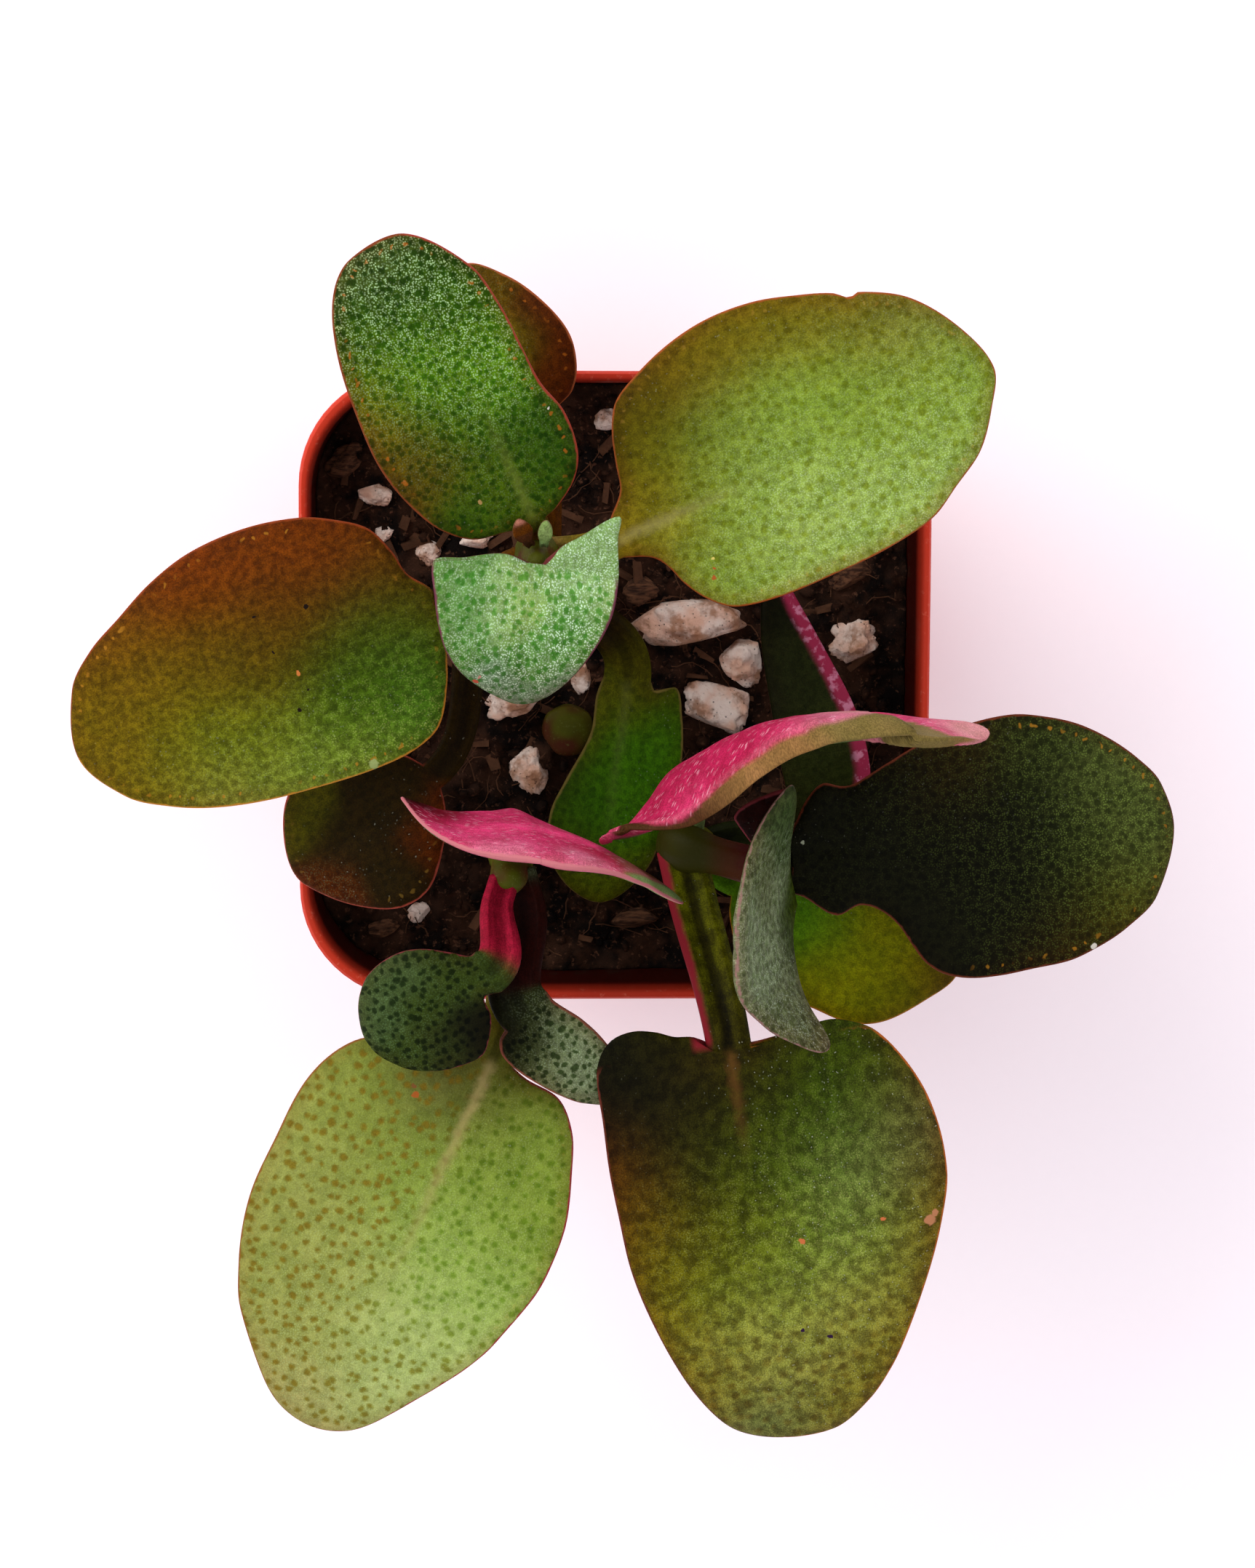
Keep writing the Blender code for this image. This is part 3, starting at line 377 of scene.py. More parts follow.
# %% [markdown]
# ## The soil
# Damp peat: a crumbly dark fill a few millimetres under the rim. The CAD soil gives the slow swell,
# by the same noise, and a dense grid adds the crumbs. A square grid is drawn onto the round-cornered
# opening by scaling each point along its own radius, so that the skin meets the wall all round, and
# its border is extruded down along the wall and closed.

# %% Soil body
SOIL_TOP, SOIL_SWELL, SOIL_CRUMB = 41.5 * MM, 1.1 * MM, 0.7 * MM
SWELLS_A_METRE, CRUMBS_A_METRE = 90, 310
LUMP, CLOD, LUMPS_A_METRE, CLODS_A_METRE = 0.5 * MM, 2.2 * MM, 620, 260
SOIL_CELLS, SOIL_SIDE = 170, 52.3
SOIL_RINGS = ((51.6, 39.0), (42.6, 1.5))


def soil_height(x, y):
    """The CAD soil's surface, in metres."""
    slow = noise.noise(Vector((x * SWELLS_A_METRE, y * SWELLS_A_METRE, 0.3)))
    crumb = noise.noise(Vector((x * CRUMBS_A_METRE, y * CRUMBS_A_METRE, 4.1)))
    return SOIL_TOP + SOIL_SWELL * slow + SOIL_CRUMB * crumb


def rough_height(x, y):
    """The soil's surface with its lumps, clods and pits."""
    lumps = noise.fractal(Vector((x * LUMPS_A_METRE, y * LUMPS_A_METRE, 2.7)), 0.9, 2.1, 4)
    clods = max(0, noise.noise(Vector((x * CLODS_A_METRE, y * CLODS_A_METRE, 9.0)))) ** 2
    return soil_height(x, y) + LUMP * lumps + CLOD * clods


def reach_to_side(x, y, half, corner):
    """How far the rounded square's border lies from its centre in the direction of (x, y)."""
    x, y = abs(x), abs(y)
    length = math.hypot(x, y)
    x, y = x / length, y / length
    side = half / max(x, y)
    inner = half - corner
    if min(x, y) * side <= inner:
        return side
    middle = inner * (x + y)
    return middle + math.sqrt(max(0, middle * middle - 2 * inner * inner + corner * corner))


bm = bmesh.new()
bmesh.ops.create_grid(bm, x_segments=SOIL_CELLS, y_segments=SOIL_CELLS, size=1)
half, corner = SOIL_SIDE / 2 * MM, CORNER * SOIL_SIDE / RIM_SIDE * MM
for vert in bm.verts:
    x, y = vert.co.x, vert.co.y
    if x or y:
        stretch = reach_to_side(x, y, half, corner) * max(abs(x), abs(y)) / math.hypot(x, y)
        x, y = x * stretch, y * stretch
    vert.co = (x, y, rough_height(x, y))
border = [edge for edge in bm.edges if edge.is_boundary]
for side, height in SOIL_RINGS:
    border, verts = extruded(bm, border)
    for vert in verts:
        span = reach_to_side(*vert.co.xy, side / 2 * MM, corner) / vert.co.xy.length
        vert.co = (vert.co.x * span, vert.co.y * span, height * MM)
closed(bm, border)
soil = new_object("soil_fill", to_mesh(bm, "soil_fill"))

# %% [markdown]
# ## Peat
# Peat is nearly black where it is damp and warm brown where fibres dry out. Three sizes of noise mix
# those browns, and a fine one keeps the crumbs rough.

# %% Peat finish
peat = Finish("peat", 0.92, 0.12)
here = peat.place()
damp = peat.noise(here, 0.35, 4, 0.6).ramp(0.40, 0.62)
peat.tone = peat.mix(damp, (0.0035, 0.0018, 0.0012), (0.034, 0.0135, 0.0065))
peat.paint(peat.noise(here, 0.13, 3, 0.6).ramp(0.50, 0.66) * 0.6, (0.060, 0.026, 0.014))
peat.paint(peat.noise(here, 2, 3, 0.6).ramp(0.57, 0.70) * 0.7, (0.13, 0.058, 0.032))
peat.close(peat.noise(here, 2.6, 5, 0.65), 0.25, 0.9)
dress(soil, peat, "peat", "soil")

# %% [markdown]
# ## Crumbs, splinters and fibres
# Loose crumbs of peat, small splinters of wood and root fibres cover the surface. A particle system
# would be thinned by the export, so each crumb is a small rough pebble of 20 faces in one mesh, and
# the fibres are bent threads of one curve that is then made a mesh. A seed keeps them in place.

# %% Crumbs
STEM_FEET, STEM_ROOM = [(-5.5, 9.6), (-9.0, -16.0), (7.5, -15.5), (-3.9, -4.5)], 2.6
SIEVES = ((1150, 0.16, 0.42, 0.8), (330, 0.4, 0.95, 0.7))
CRUMB_LIFT, SPLINTER_LIFT, TURN = 0.3, 0.25 * MM, 6.28


def soil_place(dice, clear=1.2):
    """A random place on the soil in metres, clear of the wall and the stems."""
    while True:
        x, y = dice.uniform(-25, 25), dice.uniform(-25, 25)
        if math.hypot(x, y) * MM > reach_to_side(x, y, half, corner) - clear * MM:
            continue
        if all(math.hypot(x - a, y - b) > STEM_ROOM for a, b in STEM_FEET):
            return x * MM, y * MM


def sized(size):
    """A matrix that scales to these sizes in mm."""
    return Matrix.Diagonal((*[side * MM for side in size], 1))


dice = random.Random(7)
bm = bmesh.new()
for count, least, most, flat in SIEVES:
    for _ in range(count):
        x, y = soil_place(dice)
        size = dice.uniform(least, most)
        shape = (size, size * dice.uniform(0.6, 1), size * dice.uniform(0.5, flat))
        place = Matrix.Translation((x, y, rough_height(x, y) + CRUMB_LIFT * size * MM))
        turn = Matrix.Rotation(dice.uniform(0, TURN), 4, (dice.random(), dice.random(), dice.random() + 0.1))
        bmesh.ops.create_icosphere(bm, subdivisions=1, radius=1, matrix=place @ turn @ sized(shape))
crumbs = new_object("peat_crumbs", to_mesh(bm, "peat_crumbs", 60))
dress(crumbs, peat, "peat")

# %% [markdown]
# ## Wood
# Splinters are small boxes with each corner pushed a little, and threads wander over the soil in
# short steps and turn back at the wall. Both share one grey-brown finish of weathered wood.

# %% Splinters and fibres
SPLINTERS, SPLINTER_ROOM, PUSH = 150, 2.4, 0.1
FIBRES, FIBRE_ROOM, FIBRE_STEPS, FIBRE_STEP, FIBRE_RADIUS = 170, 2.5, 6, 0.75, 0.055
WALL_ROOM, TURN_BACK, WANDER = 1.5, 2.6, 0.7
wood = Finish("weathered_wood", 0.85, 0.15)
here = wood.place()
wood.tone = wood.mix(wood.noise(here, 0.8, 4, 0.6), (0.018, 0.008, 0.004), (0.14, 0.060, 0.028))
wood.close(wood.noise(here, 5, 4, 0.6), 0.08, 0.8)
bm = bmesh.new()
for _ in range(SPLINTERS):
    x, y = soil_place(dice, SPLINTER_ROOM)
    length = dice.uniform(0.7, 2.1)
    place = Matrix.Translation((x, y, rough_height(x, y) + SPLINTER_LIFT))
    turn = Matrix.Rotation(dice.uniform(0, TURN), 4, "Z") @ Matrix.Rotation(dice.uniform(-0.4, 0.4), 4, "X")
    shape = sized((length, dice.uniform(0.2, 0.5), dice.uniform(0.12, 0.25)))
    for vert in bmesh.ops.create_cube(bm, size=1.6, matrix=place @ turn @ shape)["verts"]:
        vert.co += Vector([dice.uniform(-PUSH, PUSH) * MM for _ in range(3)])
splinters = new_object("wood_splinters", to_mesh(bm, "wood_splinters", 30))
dress(splinters, wood, "bark")

threads = bpy.data.curves.new("root_fibres", "CURVE")
threads.dimensions, threads.use_fill_caps = "3D", True
threads.bevel_depth, threads.bevel_resolution = FIBRE_RADIUS * MM, 1
for _ in range(FIBRES):
    x, y = soil_place(dice, FIBRE_ROOM)
    heading = dice.uniform(0, TURN)
    thread = threads.splines.new("POLY")
    thread.points.add(FIBRE_STEPS)
    for point in thread.points:
        if math.hypot(x, y) > reach_to_side(x or 1, y, half, corner) - WALL_ROOM * MM:
            heading += TURN_BACK
        point.co = (x, y, rough_height(x, y) + dice.uniform(0.05, 0.55) * MM, 1)
        point.radius = dice.uniform(0.6, 1.3)
        heading += dice.uniform(-WANDER, WANDER)
        x, y = x + FIBRE_STEP * MM * math.cos(heading), y + FIBRE_STEP * MM * math.sin(heading)
curve = new_object("root_fibres_curve", threads)
fibres = new_object("root_fibres", bpy.data.meshes.new_from_object(curve))
bpy.data.objects.remove(curve)
fibres.data.shade_smooth()
dress(fibres, wood, "bark")

# %% [markdown]
# ## Stones and chips
# Pale pumice and flakes of composted bark lie on the peat. Each row has a grain's place, its three
# half sizes and its turn, as in the CAD. A fine icosphere of that size gets lobes from broad noise,
# flats from a few planes and pores from fine noise; a chip is the same stone with more flats.

# %% Stone shapes
PUMICE = rows_of("""
    6.6 5.2 4.4 2.6 2 8, 11.6 1.6 2 2.3 1.7 20, 9.6 -2.6 3 2.3 1.8 -20, 21.6 3.4 2.1 1.9 1.7 0,
    -2.6 0.2 1.2 1.5 1.1 0, -8.6 -1.6 2.6 1.8 1.5 15, -7.2 -8 1.8 2.2 1.4 10, -16.2 11.3 1.1 1.1 0.9 0,
    -20.2 12.8 1 0.9 0.8 30, -20.8 16.3 1.8 0.9 0.9 -5, -12 12.6 1.7 1 0.9 20, -17.2 -21 1.2 0.9 0.8 40,
    -0.4 23 1.4 1 0.9 0""")
BARK = rows_of("""
    2.4 7.9 1.6 1.2 1.1 0, -23.4 19.2 2.3 1.2 0.9 45, 21.4 9.4 2.3 1.1 1 35, -20.3 -22.4 1.6 0.9 0.8 20,
    2 -21.5 2.4 1 0.9 10""")
GRAIN_LIFT, STONE_DETAIL = 0.25, 5
LOBE, LOBE_PACE = 0.34, 1.7
PORE_PACE, PORE_LAYERS = 3.5, (0.8, 2.0, 5)
FLAT_DEPTHS, FLATTENED, STEEPEST = (0.66, 0.9), 0.85, 0.3


def lay_stone(row, name, seed, rough, flats):
    """A rough stone on the soil, where its CAD grain lies."""
    x, y, *size, turn = row
    dice = random.Random(seed)
    bm = bmesh.new()
    bmesh.ops.create_icosphere(bm, subdivisions=STONE_DETAIL, radius=1)
    shift = Vector((seed * 7.3, 0, 0))
    planes = [(Vector([dice.gauss(0, 1) for _ in range(3)]).normalized(), dice.uniform(*FLAT_DEPTHS))
              for _ in range(flats)]
    for vert in bm.verts:
        way = vert.co.normalized()
        radius = 1 + LOBE * noise.noise(way * LOBE_PACE + shift)
        radius += rough * noise.fractal(way * PORE_PACE + shift, *PORE_LAYERS)
        for facing, depth in planes:
            over = way.dot(facing) * radius - depth
            if over > 0:
                radius -= FLATTENED * over / max(way.dot(facing), STEEPEST)
        vert.co = way * radius
    bmesh.ops.transform(bm, verts=bm.verts, matrix=Matrix.Rotation(math.radians(turn), 4, "Z") @ sized(size))
    height = soil_height(x * MM, y * MM) + GRAIN_LIFT * size[2] * MM
    bmesh.ops.translate(bm, verts=bm.verts, vec=(x * MM, y * MM, height))
    return new_object(name, to_mesh(bm, name))


# %% [markdown]
# ## Pumice
# Pumice is chalky and pinkish white, stained rusty brown where the peat's water dried on it. The
# stains follow slow noise, and the pores are small dark cells.

# %% Pumice
chalk = Finish("chalky_pumice", 0.9, 0.2)
here = chalk.place()
chalk.tone = chalk.mix(chalk.noise(here, 0.5, 3).ramp(0.35, 0.65), (0.86, 0.53, 0.38), (1.0, 0.84, 0.73))
chalk.paint(chalk.noise(here, 0.34, 4, 0.65).ramp(0.46, 0.62) * 0.8, (0.36, 0.15, 0.06))
pores = chalk.cells(here, 2.3, flat=False).ramp(0.22, 0.1)
chalk.paint(pores * chalk.noise(here, 1.1, 2).ramp(0.42, 0.6) * 0.75, (0.07, 0.035, 0.022))
chalk.close(chalk.noise(here, 4, 5, 0.65) - pores * 0.5, 0.22, 0.9)
for number, row in enumerate(PUMICE, 1):
    node = f"pumice_{number:02d}"
    dress(lay_stone(row, node + "_stone", number, rough=0.15, flats=9), chalk, "pumice", node)

# %% [markdown]
# ## Bark
# The chips are dark brown, and their finish is streaked along the grain of the wood they come from.

# %% Bark
BARK_SEED = 39
bark = Finish("composted_bark", 0.85, 0.2)
streaked = bark.stretch(bark.place(), (0.5, 3.2, 3.2), turn=0.5)
ridges = bark.noise(streaked, 1, 4, 0.6).ramp(0.35, 0.65)
bark.tone = bark.mix(ridges, (0.030, 0.012, 0.006), (0.15, 0.065, 0.030))
bark.close(bark.noise(streaked, 2, 4, 0.6), 0.2, 0.9)
for number, row in enumerate(BARK, 1):
    node = f"bark_{number:02d}"
    dress(lay_stone(row, node + "_chip", BARK_SEED + number, rough=0.12, flats=14), bark, "bark", node)

# %% [markdown]
# ## Skins of stems and leaves
# A stem, a stalk and a fleshy blade are all one long skin with changing sections. A grid is made
# with one operator, its points are laid along the sections, its long edges meet and merge, and its
# ends are filled. Lofting by hand-listed faces would do the same with much more to keep in order.
# The same grid carries marks for the finish, such as how far each point is from the leaf's edge.

# %% Rolled skin
MERGE = 2e-6


def rolled_skin(name, points, marks):
    """A closed skin: points is (rows, columns, 3) in mm over the rim, and marks maps names to values there."""
    points = (points + (0, 0, RIM_HEIGHT / MM)) * MM
    rows, columns = points.shape[:2]
    bm = bmesh.new()
    bmesh.ops.create_grid(bm, x_segments=columns, y_segments=rows - 1, size=1)
    flat = bpy.data.meshes.new(name)
    bm.to_mesh(flat)
    bm.free()
    places = np.empty(len(flat.vertices) * 3, np.float32)
    flat.vertices.foreach_get("co", places)
    places = places.reshape(-1, 3)
    column = np.rint((places[:, 0] + 1) / 2 * columns).astype(int) % columns
    row = np.rint((places[:, 1] + 1) / 2 * (rows - 1)).astype(int)
    flat.vertices.foreach_set("co", points[row, column].astype(np.float32).ravel())
    for mark, values in marks.items():
        kind, field = ("FLOAT_COLOR", "color") if len(values) == 4 else ("FLOAT_VECTOR", "vector")
        values = np.stack([np.broadcast_to(value, (rows, columns)) for value in values], axis=-1)
        layer = flat.attributes.new(mark, kind, "POINT")
        layer.data.foreach_set(field, values[row, column].astype(np.float32).ravel())
    bm = bmesh.new()
    bm.from_mesh(flat)
    bmesh.ops.remove_doubles(bm, verts=bm.verts, dist=MERGE)
    bmesh.ops.holes_fill(bm, edges=[edge for edge in bm.edges if edge.is_boundary], sides=0)
    bmesh.ops.recalc_face_normals(bm, faces=bm.faces)
    bm.to_mesh(flat)
    bm.free()
    flat.shade_smooth()
    return new_object(name, flat)


def unit(vectors):
    """Each vector at a length of 1."""
    return vectors / np.linalg.norm(vectors, axis=-1, keepdims=True)


def way_along(points):
    """How far each point lies along its path."""
    steps = np.linalg.norm(np.diff(points, axis=0), axis=1)
    return np.concatenate([[0], np.cumsum(steps)])


def smooth_path(points, steps):
    """Evenly spaced points on a smooth curve through the given ones."""
    points = np.asarray(points, float)
    knots = way_along(points)
    spans = np.linalg.norm(np.diff(points, axis=0), axis=1)
    slopes = np.empty_like(points)
    slopes[1:-1] = (points[2:] - points[:-2]) / (knots[2:] - knots[:-2])[:, None]
    slopes[0] = (points[1] - points[0]) / spans[0]
    slopes[-1] = (points[-1] - points[-2]) / spans[-1]
    at = np.linspace(0, knots[-1], steps)
    index = np.clip(np.searchsorted(knots, at, side="right") - 1, 0, len(spans) - 1)
    u = ((at - knots[index]) / spans[index])[:, None]
    reach = spans[index][:, None]
    return ((2 * u**3 - 3 * u**2 + 1) * points[index] + (u**3 - 2 * u**2 + u) * reach * slopes[index]
            + (3 * u**2 - 2 * u**3) * points[index + 1] + (u**3 - u**2) * reach * slopes[index + 1])


# %% [markdown]
# ## The stems
# Each shoot is a smooth green stem that swells at its joints, where the pairs of leaves sat or sit.
# The rows are points in mm from the pot's middle and over its rim, each with its radius, as in the
# CAD. A sweep along a curve would give the same tube, but not the ridges that fade along it.

# %% Stems
STEMS = {
    "stem_a": rows_of("""
        -5.5 9 -17 2.2, -5.7 9.6 -9 2.2, -6 10.4 -2 2.1, -6.3 11.2 2 2.5, -6.6 11.8 6 2, -7 12.3 12 1.9,
        -7.2 12.5 15.6 2.2, -7.4 12.6 17.6 1.7, -7.5 12.7 19 1.4, -7.5 12.6 20.2 1, -7.5 12.4 21.5 0.8"""),
    "stem_b": rows_of("""
        -9 -16.2 -17 2, -9 -15.8 -9 2, -9.1 -14.8 0 1.9, -9.2 -13.6 6 1.9, -9.2 -12.9 10 2.2, -9.4 -13.6 13 1.7,
        -9.7 -14.6 15.2 1.5, -9.8 -15 16.4 0.9"""),
    "stem_c": rows_of("""
        7.6 -15.6 -17 2, 7.4 -15.4 -9 2, 7 -14.6 -2 2, 6.7 -14 2 2.3, 5.9 -13 6 1.9, 5.4 -12.6 9.5 2.2,
        8 -13.1 11.4 1.6, 10.6 -13.7 12.6 1.6, 12.2 -13.9 13.8 1.7, 12.6 -14 15.2 0.9"""),
    "cut_stub": rows_of("""
        -3.9 -4.6 -15 2.2, -3.9 -4.5 -9 2.2, -3.9 -4.3 -5.2 2.2, -3.9 -4.3 -4.9 1.8"""),
}
STEM_ROWS, STEM_COLUMNS = 120, 36
DOME, DOME_LEAST = 0.7, 0.02
RIDGES = ((3, 0.035, 0.35), (7, 0.02, 0))


def stem_skin(name, table):
    """A round skin along the stem's points, closed by a small dome at its end."""
    path = smooth_path(table, STEM_ROWS)
    centre, radius = path[:, :3], path[:, 3].copy()
    ahead = unit(np.gradient(centre, axis=0))
    side = unit(np.cross(ahead, (0.0, 1.0, 0.0)))
    other = np.cross(ahead, side)
    length = way_along(centre)
    rest = np.minimum(length[-1] - length, DOME) / DOME
    radius *= np.sqrt(np.clip(1 - (1 - rest) ** 2, DOME_LEAST, 1))
    turn = np.arange(STEM_COLUMNS) / STEM_COLUMNS * 2 * math.pi
    ridge = 1 + sum(size * np.sin(count * turn + twist * length[:, None]) for count, size, twist in RIDGES)
    ring = np.cos(turn)[None, :, None] * side[:, None] + np.sin(turn)[None, :, None] * other[:, None]
    points = centre[:, None] + ring * (radius[:, None] * ridge)[..., None]
    return rolled_skin(name, points, {"girth": (length[:, None], turn, path[:, 3][:, None])})


# %% [markdown]
# ## Stem skin
# The skin is olive with red patches, a fine pale speckle and brown joints. The end of the stem that
# bends to the right lies in deep shade under the leaves, so painted shade darkens it there, dark red on
# its right, and its place is given in the pot.

# %% Stem finish
green = Finish("stem_skin", 0.5, 0.06)
here = green.place()
thick = green.parts(green.mark("girth"))[2]
green.tone = green.mix(green.noise(here, 0.4, 3), (0.030, 0.038, 0.002), (0.085, 0.085, 0.004))
green.paint(green.noise(here, 0.22, 2).ramp(0.50, 0.66), (0.060, 0.014, 0.005))
green.paint(green.noise(here, 3.5, 3, 0.6).ramp(0.58, 0.7) * 0.3, (0.15, 0.17, 0.05))
green.paint(thick.ramp(2.08, 2.3) * 0.4, (0.055, 0.020, 0.005))
x, y, z = green.parts(here)
# Painted shade: the end of the stem that bends to the right is painted dark under the leaves, dark red on its
# right.
flush = green.mix(x.ramp(6.5, 9.5), (0.016, 0.014, 0.001), (0.050, 0.004, 0.004))
green.paint(x.ramp(1, 3.5) * z.ramp(55, 59) * 0.85, flush)
green.close(green.noise(here, 3, 4, 0.6), 0.06, 0.7)
for name, table in STEMS.items():
    dress(stem_skin(name + "_skin", table), green, "stem_green", name)

# %% [markdown]
# ## The leaves' measures
# base and tip are the ends of the midrib, in mm with heights over the rim. left and right are the
# outline beside it, as distances along and from it. low and high are the heights of the blade's
# cross-section at the base and at the tip, from the left edge to the right. arch lifts the middle of
# the midrib and droop lowers its tip. joint is where the stalk leaves its stem, way its direction
# there, and stalk its widths at both ends. They were measured by laying each outline over the photo.

# %% Leaf measures
def cup(edge, quarter=0):
    """A cross-section that rises evenly to both edges."""
    return (edge, quarter, 0, quarter, edge)


